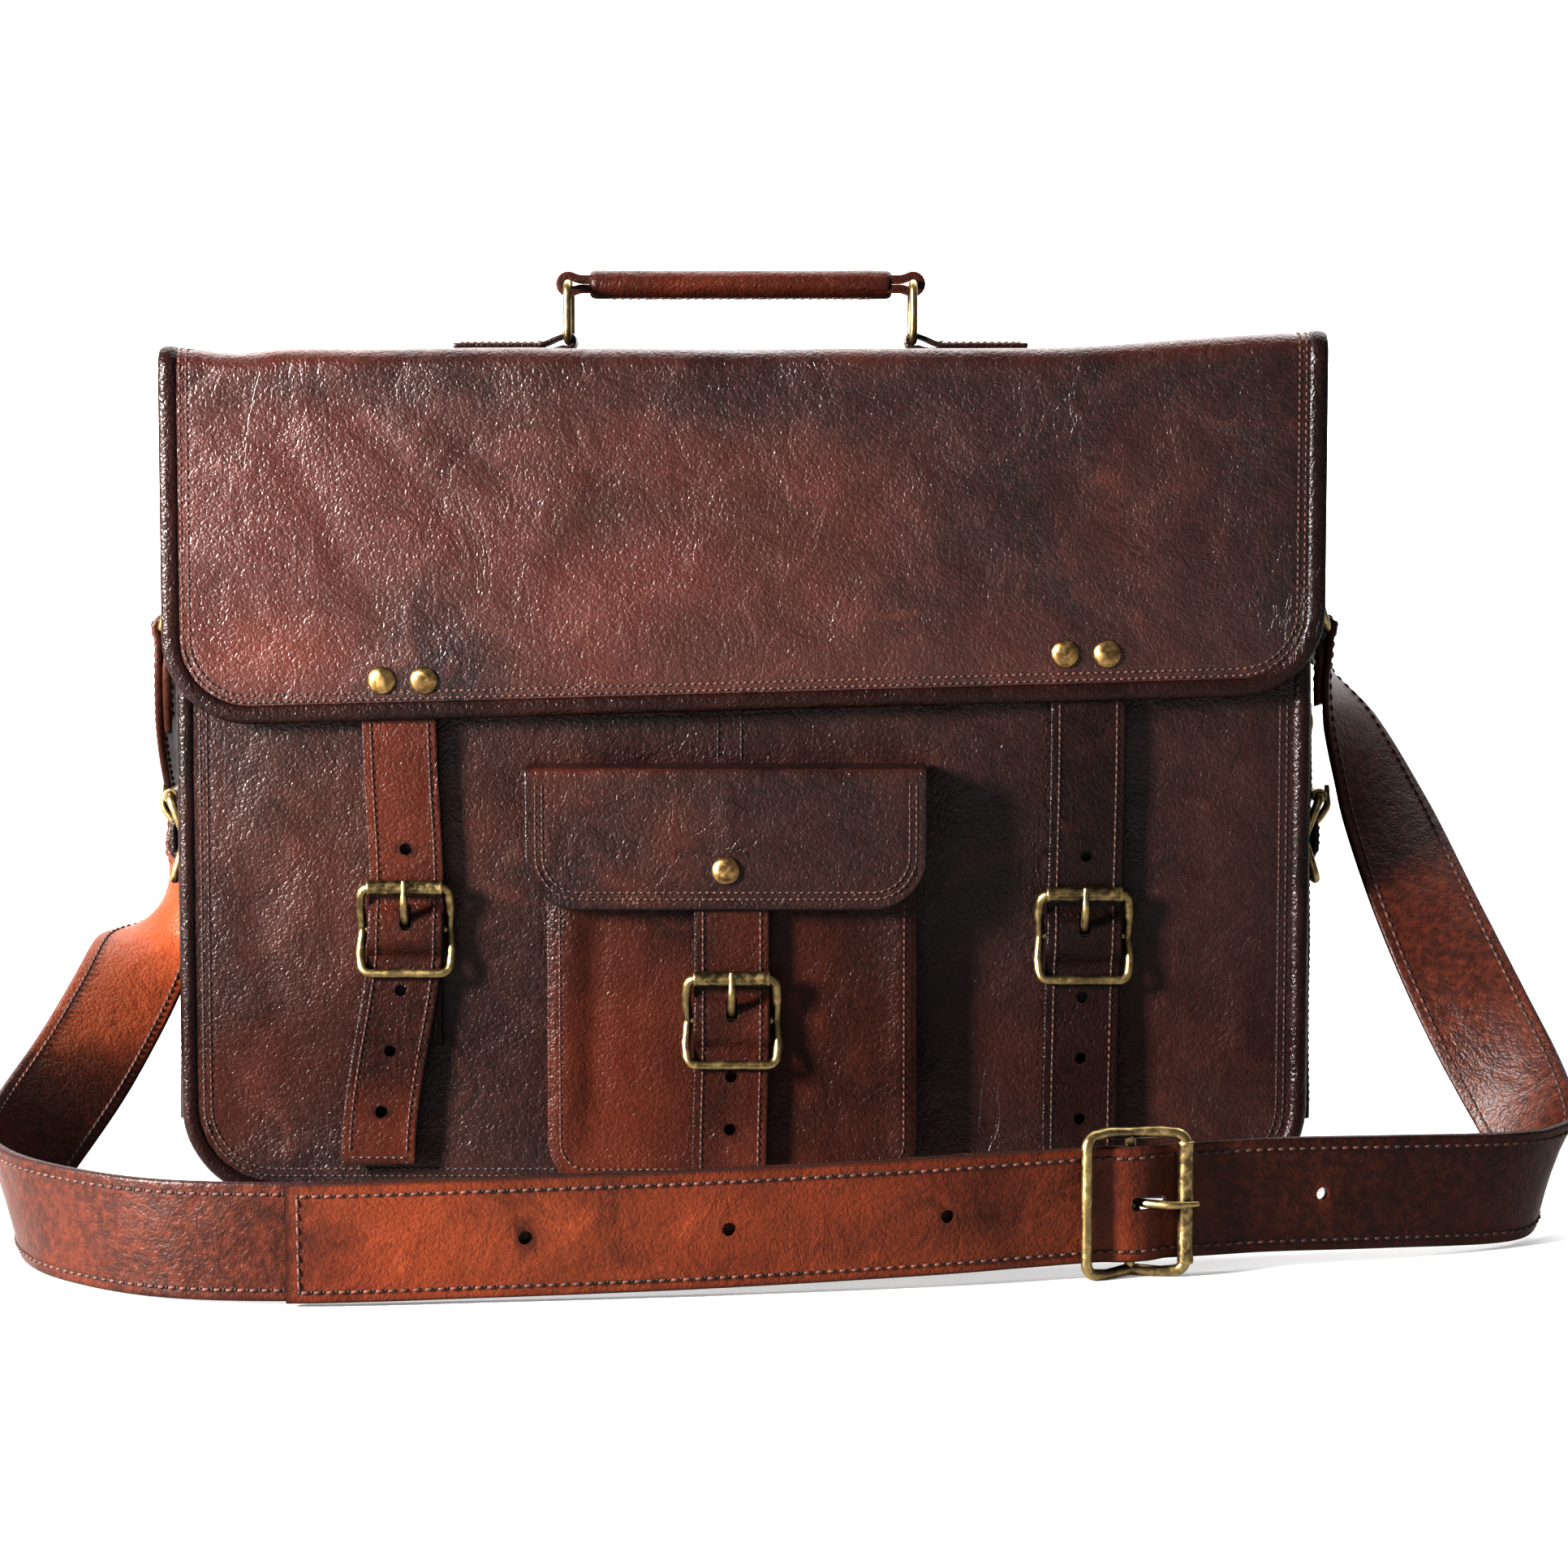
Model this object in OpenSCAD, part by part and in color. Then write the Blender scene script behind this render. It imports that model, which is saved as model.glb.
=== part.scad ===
// Leather satchel bag with a buckled flap, front pocket, side pockets,
// ring-hung carrying handle and a buckled shoulder strap.
// Frame: mm, origin at the centre of the base, +X to the right seen from the
// front, +Y to the back, +Z up. The bag stands on its base with the shoulder
// strap lying on the floor in front of it.

/* [Body] */
// overall width of the front and back panels
body_w = 407;  // [360:1:460]
// height of the panels
body_h = 302;  // [260:1:340]
// depth of the bag, panel to panel
body_d = 120;  // [90:1:150]
// radius of the lower corners
corner_r = 34;  // [20:1:50]
// leather thickness of the panels, flap and gusset
leather = 2.5;  // [1.5:0.1:4]
// diameter of the rolled edge round each panel
roll_d = 7;  // [5:0.5:9]
// thickness of the lining
lining_t = 1;  // [0.5:0.1:2]

/* [Flap] */
// width of the main flap
flap_w = 414;  // [380:1:450]
// height of the flap's lower edge at the left side
flap_low_left = 172;  // [120:1:220]
// height of the flap's lower edge at the right side
flap_low_right = 183.5;  // [120:0.5:220]
// radius of the flap's lower corners
flap_r = 31;  // [15:1:45]
// width of the bound edge of the flap
bind_w = 8;  // [5:0.5:12]

/* [Closure straps and buckles] */
// width of the closure straps
strap_w = 27;  // [20:1:32]
// height of the left closure buckle's centre bar
left_bar_z = 99;  // [80:1:120]
// height of the right closure buckle's centre bar
right_bar_z = 96.5;  // [80:0.5:120]
// x of the left closure strap
left_x = -121;  // [-150:1:-100]
// x of the right closure strap
right_x = 122;  // [100:1:150]
// height of the closure straps' lower tips
tip_z = 14;  // [8:1:40]
// outside width of the small buckles
buckle_w = 34.5;  // [30:0.5:40]
// distance of the buckle's end bars from its centre bar
buckle_reach = 15.5;  // [12:0.5:20]
// wire diameter of the small buckles
wire_d = 3.3;  // [2.5:0.1:4]
// outside diameter of the rollers
roller_d = 5.5;  // [4.8:0.1:7]

/* [Front pocket] */
// width of the pocket
pocket_w = 132;  // [100:1:160]
// height of the pocket's open edge
pocket_top = 146;  // [120:1:155]
// how far the pocket stands out from the front panel
pocket_d = 14;  // [10:1:25]
// x of the pocket's centre
pocket_x = -4;  // [-20:1:20]
// width of the pocket flap
pflap_w = 142;  // [120:1:170]
// height of the pocket flap's top edge
pflap_top = 158;  // [145:1:165]
// height of the pocket flap's lower edge
pflap_low = 108;  // [90:1:125]
// height of the pocket buckle's centre bar
pocket_bar_z = 68;  // [50:1:80]

/* [Side straps] */
// height of the side buckles' centre bar
side_bar_z = 127;  // [110:1:140]

/* [Handle] */
// distance between the two handle rings
ring_span = 127;  // [100:1:160]
// wire diameter of the handle rings
ring_wire = 3;  // [2.5:0.1:4]
// height between the lower and upper bar of a handle ring
ring_h = 21;  // [16:1:30]
// length of the leather grip
grip_len = 109;  // [80:1:130]
// diameter of the leather grip
grip_d = 11;  // [8:0.5:16]

/* [Shoulder strap] */
// width of the shoulder strap
sling_w = 38;  // [25:1:50]
// thickness of the shoulder strap
sling_t = 3;  // [2:0.5:4]
// height of the bar that the shoulder strap hangs from
sling_bar_z = 204;  // [180:1:230]
// outside width of the shoulder strap buckle
sling_buckle_w = 49;  // [44:1:56]

/* [Quality] */
// segments of round surfaces
facets = 64;  // [24:8:128]

/* [Hidden] */
$fn = facets;
gap = 0.05;
clear = 0.35;
half_w = body_w / 2;
half_d = body_d / 2;
roll_r = roll_d / 2;
panel_y = half_d - 1.5;
chape_t = 1.6;
bar_r = wire_d / 2;
bore_r = bar_r + 0.05;
loop_r = bore_r + chape_t;
bar_y = panel_y + 0.1 + loop_r;
strap_t = 2.5;
strap_back = clear;
bow_roller = strap_back + strap_t + 0.4 + roller_d / 2;
bow_keeper = strap_back + strap_t + 0.4 + bar_r;
buckle_half = buckle_w / 2 - bar_r;
flap_back = bar_y + strap_back + strap_t + 0.3;
flap_front_y = flap_back + leather;
top_z = body_h + 1.5;
fold_r = leather / 2;
pocket_face = panel_y + pocket_d;
pocket_bar_y = pocket_face + 0.1 + loop_r;
pflap_back = pocket_bar_y + strap_back + strap_t + 0.3;
pflap_t = 2.2;
pflap_r = 19;
side_bar_x = half_w + 0.1 + loop_r;
ring_axis_z = top_z + leather + 0.1 + ring_wire / 2 + 0.05 + 2.6;
ring_left_x = -1.5 - ring_span / 2;
ring_right_x = -1.5 + ring_span / 2;
grip_z = ring_axis_z + ring_h;
ring_half = 12.5;
tab_w = 20;
cap_r = 5.15;
cap_h = 2.4;
shank_r = 1.5;
sling_reach = 17;
sling_wire = 3.8;
sling_roller_d = 5.4;
sling_out_roller = clear + sling_t + 0.4 + sling_roller_d / 2;
sling_out_keeper = clear + sling_t + 0.4 + sling_wire / 2;
side_ring_h = 18;
side_ring_half = 22;
side_ring_tilt = 17.8;
side_tab_z = sling_bar_z + side_ring_h;
side_ring_x = half_w + 0.1 + loop_r + 1.6;
ring_low_x = side_ring_x + side_ring_h * sin(side_ring_tilt);
ring_low_z = side_tab_z - side_ring_h * cos(side_ring_tilt);

// ---- colours ----
dark = [0.20, 0.10, 0.08];
brown = [0.34, 0.18, 0.14];
rust = [0.45, 0.22, 0.14];
tan = [0.52, 0.28, 0.17];
cloth = [0.33, 0.28, 0.22];
brass = [0.62, 0.53, 0.34];

// ---- shared shapes ----
// rod between two points
module rod(a, b, r) {
  v = b - a;
  l = norm(v);
  translate(a)
    rotate([0, acos(v[2] / l), atan2(v[1], v[0])])
      cylinder(r = r, h = l);
}

// bar along X centred on the origin
module bar(r, l) {
  rotate([0, 90, 0])
    cylinder(r = r, h = l, center = true);
}

// rectangle with rounded lower corners, from z = low up to z = high
module tray_2d(w, low, high, r) {
  translate([-w / 2, low + r])
    square([w, high - low - r]);
  translate([-w / 2 + r, low])
    square([w - 2 * r, r + 1]);
  for (s = [-1, 1])
    translate([s * (w / 2 - r), low + r])
      circle(r = r);
}

// plate standing in XZ, between y = near and y = far
module plate(near, far) {
  translate([0, max(near, far), 0])
    rotate([90, 0, 0])
      linear_extrude(height = abs(far - near))
        children();
}

// U-shaped rolled edge round a panel, at y
module rolled_edge(y) {
  c = half_w - roll_r;
  k = corner_r - roll_r;
  for (s = [-1, 1]) {
    translate([s * c, y, corner_r])
      cylinder(r = roll_r, h = body_h - corner_r - 1);
    translate([s * (half_w - corner_r), y, corner_r])
      rotate([90, s > 0 ? 0 : 180, 0])
        rotate([0, 0, s > 0 ? -90 : 0])
          mirror([0, 0, s > 0 ? 0 : 1])
            rotate_extrude(angle = 90)
              translate([k, 0])
                circle(r = roll_r);
  }
  translate([0, y, roll_r])
    bar(roll_r, body_w - 2 * corner_r);
}

// domed rivet cap, shank and burr along -Y, the cap's seat at the origin
module rivet(grip) {
  ball = (cap_r * cap_r + cap_h * cap_h) / (2 * cap_h);
  intersection() {
    translate([0, ball - cap_h, 0])
      sphere(r = ball);
    translate([0, gap, 0])
      rotate([90, 0, 0])
        cylinder(r = cap_r, h = cap_h + 1);
  }
  rotate([-90, 0, 0])
    cylinder(r = shank_r, h = grip + 0.9);
  translate([0, grip, 0])
    rotate([-90, 0, 0])
      cylinder(r = 4, h = 0.9);
}

// ---- buckle, about its centre bar: X along the bar, -Y outward, +Z to the roller ----
module frame_shape(w, reach, wire, out_roller, out_keeper) {
  r = wire / 2;
  h = w / 2 - r;
  bar(r, 2 * h);
  translate([0, -out_roller, reach])
    bar(r, 2 * h);
  translate([0, -out_keeper, -reach])
    bar(r, 2 * h);
  for (s = [-1, 1]) {
    rod([s * h, 0, 0], [s * h, -out_roller, reach], r);
    rod([s * h, 0, 0], [s * h, -out_keeper, -reach], r);
    translate([s * h, 0, 0])
      sphere(r = r + 0.15);
    translate([s * h, -out_roller, reach])
      sphere(r = r + 0.15);
    translate([s * h, -out_keeper, -reach])
      sphere(r = r + 0.15);
  }
}

module roller_shape(w, wire, d, reach, out_roller) {
  translate([0, -out_roller, reach])
    difference() {
      bar(d / 2, w - 2 * wire - 0.9);
      bar(wire / 2 + 0.05, w);
    }
}

module tongue_shape(wire, d, reach, out_roller) {
  r = 1.5;
  lift = out_roller + d / 2 + r + 0.35;
  knee = [0, -lift, reach - 4];
  difference() {
    union() {
      bar(wire / 2 + 1.5, 3.4);
      rod([0, -wire / 2 - 0.7, 1.2], knee, r);
      rod(knee, [0, -lift, reach + 3], r);
      translate(knee)
        sphere(r = r + 0.15);
      translate([0, -lift, reach + 3])
        sphere(r = r + 0.15);
    }
    bar(wire / 2 + 0.05, 10);
  }
}

// leather fold round the centre bar with its two layers stitched down below
module chape_shape(w, wire, t, tail) {
  r_in = wire / 2 + 0.05;
  r_out = r_in + t;
  difference() {
    union() {
      bar(r_out, w);
      translate([-w / 2, r_out - 2 * t, -tail])
        cube([w, 2 * t, tail]);
    }
    bar(r_in, w + 2);
    translate([-2.4, -r_out - 1, -r_out - 2])
      cube([4.8, 2 * r_out + 2, 2 * r_out + 2.4]);
  }
}

// buckled strap: runs past the centre bar with a bump over the chape
module strap_shape(w, up, down, holes, slot_low) {
  hi = -loop_r - 0.3;
  lo = -strap_back;
  difference() {
    union() {
      translate([w / 2, 0, 0])
        rotate([90, 0, -90])
          linear_extrude(height = w)
            polygon([
              [-lo, up], [-lo, 10], [-hi, 3.2], [-hi, -3.2], [-lo, -10], [-lo, -down],
              [-lo + strap_t, -down], [-lo + strap_t, -10], [-hi + strap_t, -3.2],
              [-hi + strap_t, 3.2], [-lo + strap_t, 10], [-lo + strap_t, up]
            ]);
    }
    for (z = holes)
      translate([0, 1, z])
        rotate([90, 0, 0])
          cylinder(r = 2, h = 12);
    translate([-2.1, -12, slot_low])
      cube([4.2, 13, 9.5 - slot_low]);
  }
}

// ---- bag body ----
module front_panel() {
  color(brown) {
    plate(-panel_y, -panel_y + leather)
      tray_2d(body_w - 2 * roll_d - 0.1, roll_d + gap, body_h, corner_r - roll_d);
    translate([-5, -panel_y, pflap_top + 4])
      cylinder(r = 1.4, h = body_h - pflap_top - 17);
  }
}

module back_panel() {
  color(brown)
    plate(panel_y - leather, panel_y)
      tray_2d(body_w - 2 * roll_d - 0.1, roll_d + gap, body_h, corner_r - roll_d);
}

module front_edge_roll() {
  color(dark)
    rolled_edge(-half_d + roll_r);
}

module back_edge_roll() {
  color(dark)
    rolled_edge(half_d - roll_r);
}

module gusset() {
  d = body_d - 2 * roll_d - 0.1;
  color(brown)
    difference() {
      plate(-d / 2, d / 2)
        tray_2d(body_w, 0, body_h - 4, corner_r);
      plate(-body_d, body_d)
        tray_2d(body_w - 2 * leather, leather, body_h + 10, corner_r - leather);
    }
}

module mouth_binding() {
  color(dark)
    for (s = [-1, 1])
      difference() {
        translate([0, s * (half_d - roll_r), body_h - 5])
          cube([body_w - 2 * roll_d - 0.2, 5.6, 12], center = true);
        translate([0, s * (panel_y - leather / 2), body_h - 8])
          cube([body_w, leather + 0.1, 16.02], center = true);
      }
}

module lining() {
  w = body_w - 2 * leather - 0.2;
  d = 2 * (panel_y - leather) - 6.2;
  color(cloth)
    difference() {
      plate(-d / 2, d / 2)
        tray_2d(w, leather + 0.1, body_h - 14, corner_r - leather);
      plate(-d / 2 + lining_t, d / 2 - lining_t)
        tray_2d(w - 2 * lining_t, leather + 0.1 + lining_t, body_h + 10,
                corner_r - leather - lining_t);
    }
}

module divider() {
  w = body_w - 2 * leather - 0.3 - 2 * lining_t;
  color(cloth)
    plate(12, 16)
      tray_2d(w - 0.2, leather + 0.2 + lining_t, body_h - 60, corner_r - leather - lining_t);
}

// ---- closure chapes and side tabs ----
module at_left() {
  translate([left_x, -bar_y, left_bar_z])
    children();
}

module at_right() {
  translate([right_x, -bar_y, right_bar_z])
    children();
}

module at_pocket() {
  translate([pocket_x, -pocket_bar_y, pocket_bar_z])
    children();
}

module at_side(s) {
  rotate([0, 0, s > 0 ? 90 : -90])
    translate([0, -side_bar_x, side_bar_z])
      children();
}

module chapes() {
  color(rust)
    at_left()
      chape_shape(25, wire_d, chape_t, 42);
  color(dark)
    at_right()
      chape_shape(25, wire_d, chape_t, 38);
  color(rust)
    at_pocket()
      chape_shape(25, wire_d, chape_t, 34);
  color(dark)
    for (s = [-1, 1])
      at_side(s)
        chape_shape(25, wire_d, chape_t, 34);
}

// ---- buckles ----
module small_frame() {
  color(brass)
    frame_shape(buckle_w, buckle_reach, wire_d, bow_roller, bow_keeper);
}

module small_roller() {
  color(brass)
    roller_shape(buckle_w, wire_d, roller_d, buckle_reach, bow_roller);
}

module small_tongue() {
  color(brass)
    tongue_shape(wire_d, roller_d, buckle_reach, bow_roller);
}

module buckle_left() {
  at_left()
    small_frame();
}

module roller_left() {
  at_left()
    small_roller();
}

module tongue_left() {
  at_left()
    small_tongue();
}

module buckle_right() {
  at_right()
    small_frame();
}

module roller_right() {
  at_right()
    small_roller();
}

module tongue_right() {
  at_right()
    small_tongue();
}

module buckle_pocket() {
  at_pocket()
    small_frame();
}

module roller_pocket() {
  at_pocket()
    small_roller();
}

module tongue_pocket() {
  at_pocket()
    small_tongue();
}

module buckle_side_left() {
  at_side(-1)
    small_frame();
}

module roller_side_left() {
  at_side(-1)
    small_roller();
}

module tongue_side_left() {
  at_side(-1)
    small_tongue();
}

module buckle_side_right() {
  at_side(1)
    small_frame();
}

module roller_side_right() {
  at_side(1)
    small_roller();
}

module tongue_side_right() {
  at_side(1)
    small_tongue();
}

// ---- main flap ----
module flap_outline(inset) {
  w = flap_w / 2 - inset;
  r = flap_r - inset;
  slope = (flap_low_right - flap_low_left) / flap_w;
  a = atan(slope);
  cl = flap_low_left + slope * flap_r + flap_r / cos(a);
  cr = flap_low_right - slope * flap_r + flap_r / cos(a);
  cx = flap_w / 2 - flap_r;
  polygon([
    [-w, top_z - fold_r - 0.4], [-w, cl], [-cx, cl], [-cx + r * sin(a), cl - r * cos(a)],
    [cx + r * sin(a), cr - r * cos(a)], [cx, cr], [w, cr], [w, top_z - fold_r - 0.4]
  ]);
  translate([-cx, cl])
    circle(r = r);
  translate([cx, cr])
    circle(r = r);
}

module flap_rear() {
  color(brown) {
    translate([-flap_w / 2 + bind_w + gap, -flap_back + 0.3 + fold_r, top_z])
      cube([flap_w - 2 * bind_w - 2 * gap, flap_back + half_d - fold_r, leather]);
    translate([0, half_d + fold_r + 0.35, top_z + fold_r])
      bar(fold_r, flap_w - 2 * bind_w - 0.1);
  }
}

module flap_rear_binding() {
  color(dark)
    for (s = [-1, 1])
      translate([s * (flap_w / 2 - bind_w / 2), (half_d - flap_back) / 2 + 0.8, top_z + fold_r])
        cube([bind_w, flap_back + half_d - 1.8, 3.4], center = true);
}

module flap_drop() {
  axis_y = flap_back + fold_r;
  color(brown) {
    difference() {
      plate(-flap_front_y, -flap_back)
        flap_outline(bind_w + gap);
      for (x = [left_x - 7.5, left_x + 7.5])
        translate([x, 0, 188.5])
          rotate([90, 0, 0])
            cylinder(r = shank_r + gap, h = 100);
      for (x = [right_x - 7.5, right_x + 7.5])
        translate([x, 0, 198])
          rotate([90, 0, 0])
            cylinder(r = shank_r + gap, h = 100);
    }
    translate([0, -axis_y, top_z])
      bar(fold_r, flap_w - 2 * bind_w - 0.1);
    translate([-flap_w / 2 + bind_w + gap, -axis_y - fold_r, top_z - fold_r - 0.5])
      cube([flap_w - 2 * bind_w - 2 * gap, leather, fold_r + 0.5]);
  }
}

module flap_drop_binding() {
  color(dark)
    plate(-flap_front_y - 0.6, -flap_back + 0.1)
      difference() {
        flap_outline(0);
        flap_outline(bind_w);
      }
}

module flap_rivets() {
  color(brass) {
    for (x = [left_x - 7.5, left_x + 7.5])
      translate([x, -flap_front_y - gap, 188.5])
        rivet(leather + strap_t + 0.4 + gap);
    for (x = [right_x - 7.5, right_x + 7.5])
      translate([x, -flap_front_y - gap, 198])
        rivet(leather + strap_t + 0.4 + gap);
  }
}

module closure_strap(bar_z, rivet_z) {
  difference() {
    strap_shape(strap_w, rivet_z + 9 - bar_z, bar_z - tip_z, [29, -22, -44, -66], 0);
    for (s = [-1, 1])
      translate([s * 7.5, 2, rivet_z - bar_z])
        rotate([90, 0, 0])
          cylinder(r = shank_r + gap, h = 12);
  }
}

module strap_left() {
  color(rust)
    at_left()
      closure_strap(left_bar_z, 188.5);
}

module strap_right() {
  color(dark)
    at_right()
      closure_strap(right_bar_z, 198);
}

// ---- front pocket ----
module pocket_front() {
  color(rust)
    translate([pocket_x, 0, 0])
      plate(-pocket_face, -pocket_face + 2)
        tray_2d(pocket_w, 9, pocket_top, 14);
}

module pocket_gusset() {
  color(dark)
    translate([pocket_x, 0, 0])
      difference() {
        plate(-pocket_face + 2 + gap, -panel_y - gap)
          tray_2d(pocket_w, 9, pocket_top - 3, 14);
        plate(-100, 0)
          tray_2d(pocket_w - 3.6, 10.8, pocket_top + 5, 12.2);
      }
}

module pocket_flap() {
  pivot_y = panel_y + 1.3;
  color(dark)
    translate([pocket_x - 2, 0, 0]) {
      difference() {
        plate(-pflap_back - pflap_t, -pflap_back)
          tray_2d(pflap_w, pflap_low, pflap_top, pflap_r);
        translate([0, 0, pflap_low + 14])
          rotate([90, 0, 0])
            cylinder(r = shank_r + gap, h = 200);
      }
      translate([-pflap_w / 2, -pflap_back - pflap_t, pflap_top - pflap_t])
        cube([pflap_w, pflap_back + pflap_t - pivot_y, pflap_t]);
      translate([0, -pivot_y, pflap_top - pflap_t / 2])
        bar(pflap_t / 2, pflap_w);
    }
}

module pocket_rivet() {
  color(brass)
    translate([pocket_x - 2, -pflap_back - pflap_t - gap, pflap_low + 14])
      rivet(pflap_t + strap_t + 0.4 + gap);
}

module pocket_strap() {
  color(rust)
    at_pocket()
      difference() {
        strap_shape(strap_w, pflap_low + 21 - pocket_bar_z, pocket_bar_z - 10, [-20, -39], 0);
        translate([-2, 2, pflap_low + 14 - pocket_bar_z])
          rotate([90, 0, 0])
            cylinder(r = shank_r + gap, h = 12);
      }
}

// ---- side straps ----
module side_closure() {
  top = 34;
  difference() {
    strap_shape(strap_w, top + 16, 105, [-22, -44, -66, -88], 0);
    translate([0, 2, top + 8])
      rotate([90, 0, 0])
        cylinder(r = shank_r + gap, h = 12);
  }
}

module side_strap_left() {
  color(dark)
    at_side(-1)
      side_closure();
}

module side_strap_right() {
  color(dark)
    at_side(1)
      side_closure();
}

module side_anchor(s) {
  t = side_bar_x - half_w + strap_back - 0.1;
  rotate([0, 0, s > 0 ? 90 : -90])
    difference() {
      translate([-strap_w / 2, -half_w - gap - t, side_bar_z + 39])
        cube([strap_w, t, 11]);
      translate([0, -half_w, side_bar_z + 42])
        rotate([90, 0, 0])
          cylinder(r = shank_r + gap, h = 30, center = true);
    }
}

module side_anchors() {
  color(dark)
    for (s = [-1, 1])
      side_anchor(s);
}

// ---- tabs and rings for the shoulder strap ----
module side_tab(s) {
  tail = 44;
  rotate([0, 0, s > 0 ? 90 : -90])
    translate([0, -side_ring_x, side_tab_z])
      difference() {
        union() {
          bar(loop_r, 36);
          translate([-18, loop_r + 1.6 - 2 * chape_t, 0])
            cube([36, 2 * chape_t, tail]);
        }
        bar(bore_r, 40);
        for (x = [-9, 9])
          translate([x, 0, tail - 14])
            rotate([90, 0, 0])
              cylinder(r = shank_r + gap, h = 20, center = true);
      }
}

module side_tabs() {
  color(dark)
    for (s = [-1, 1])
      side_tab(s);
}

module side_rivets() {
  color(brass)
    for (s = [-1, 1])
      rotate([0, 0, s > 0 ? 90 : -90]) {
        translate([0, -side_bar_x - strap_back - strap_t - gap, side_bar_z + 42])
          intersection() {
            rivet(strap_t + 7);
            translate([0, -1.6, 0])
              cube([12, 15, 12], center = true);
          }
        for (x = [-9, 9])
          translate([x, -half_w - gap - 2 * chape_t - 0.1, side_tab_z + 30])
            intersection() {
              rivet(2 * chape_t + 0.1);
              translate([0, -3, 0])
                cube([12, 12.2, 12], center = true);
            }
      }
}

module side_ring_shape() {
  r = bar_r;
  h = side_ring_half;
  bar(r, 2 * h);
  translate([0, 0, -side_ring_h])
    bar(r, 2 * h);
  for (s = [-1, 1]) {
    translate([s * h, 0, -side_ring_h])
      cylinder(r = r, h = side_ring_h);
    translate([s * h, 0, 0])
      sphere(r = r + 0.15);
    translate([s * h, 0, -side_ring_h])
      sphere(r = r + 0.15);
  }
}

module side_ring_left() {
  color(brass)
    rotate([0, 0, -90])
      translate([0, -side_ring_x, side_tab_z])
        rotate([-side_ring_tilt, 0, 0])
          side_ring_shape();
}

module side_ring_right() {
  color(brass)
    rotate([0, 0, 90])
      translate([0, -side_ring_x, side_tab_z])
        rotate([-side_ring_tilt, 0, 0])
          side_ring_shape();
}

// ---- handle ----
module handle_tab(x, dir) {
  t = 2.6;
  r_in = ring_wire / 2 + 0.05;
  translate([x, 0, ring_axis_z])
    difference() {
      union() {
        rotate([90, 0, 0])
          cylinder(r = r_in + t, h = tab_w, center = true);
        translate([dir > 0 ? 0 : -42, -tab_w / 2, -r_in - t])
          cube([42, tab_w, t + 1]);
      }
      rotate([90, 0, 0])
        cylinder(r = r_in, h = tab_w + 2, center = true);
    }
}

module handle_tabs() {
  color(dark) {
    handle_tab(ring_left_x, -1);
    handle_tab(ring_right_x, 1);
  }
}

module handle_ring(x) {
  r = ring_wire / 2;
  translate([x, 0, ring_axis_z]) {
    for (z = [0, ring_h])
      translate([0, 0, z])
        rotate([90, 0, 0])
          cylinder(r = r, h = 2 * ring_half, center = true);
    for (s = [-1, 1]) {
      translate([0, s * ring_half, 0])
        cylinder(r = r, h = ring_h);
      for (z = [0, ring_h])
        translate([0, s * ring_half, z])
          sphere(r = r + 0.15);
    }
  }
}

module ring_left() {
  color(brass)
    handle_ring(ring_left_x);
}

module ring_right() {
  color(brass)
    handle_ring(ring_right_x);
}

module grip_wrap() {
  color(dark)
    translate([-1.5, 0, grip_z])
      difference() {
        bar(grip_d / 2, grip_len);
        bar(grip_d / 2 - 2, grip_len + 2);
      }
}

module grip_core() {
  color(cloth)
    translate([-1.5, 0, grip_z])
      bar(grip_d / 2 - 2.05, grip_len - 16);
}

module grip_loops() {
  r_in = ring_wire / 2 + 0.05;
  color(brown)
    for (s = [-1, 1])
      translate([-1.5 + s * ring_span / 2, 0, grip_z])
        difference() {
          union() {
            rotate([90, 0, 0])
              cylinder(r = r_in + 3, h = 7, center = true);
            translate([-s * 9, 0, 0])
              bar(grip_d / 2 - 2.05, 16);
          }
          rotate([90, 0, 0])
            cylinder(r = r_in, h = 30, center = true);
          for (e = [-1, 1])
            translate([0, e * 8.5, 0])
              cube([2 * r_in + 6, 10, 12], center = true);
        }
}

// ---- shoulder strap ----
function blend_pt(p, i, t) =
  let (
    a = p[max(i - 1, 0)], b = p[i],
    c = p[min(i + 1, len(p) - 1)], d = p[min(i + 2, len(p) - 1)]
  )
    0.5 * (2 * b + (c - a) * t + (2 * a - 5 * b + 4 * c - d) * t * t
           + (3 * b - a - 3 * c + d) * t * t * t);

function smooth(p, n) = [
  for (i = [0:len(p) - 2])
    for (k = [0:n - 1])
      blend_pt(p, i, k / n),
  p[len(p) - 1]
];

function unit(v) = v / norm(v);

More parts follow.
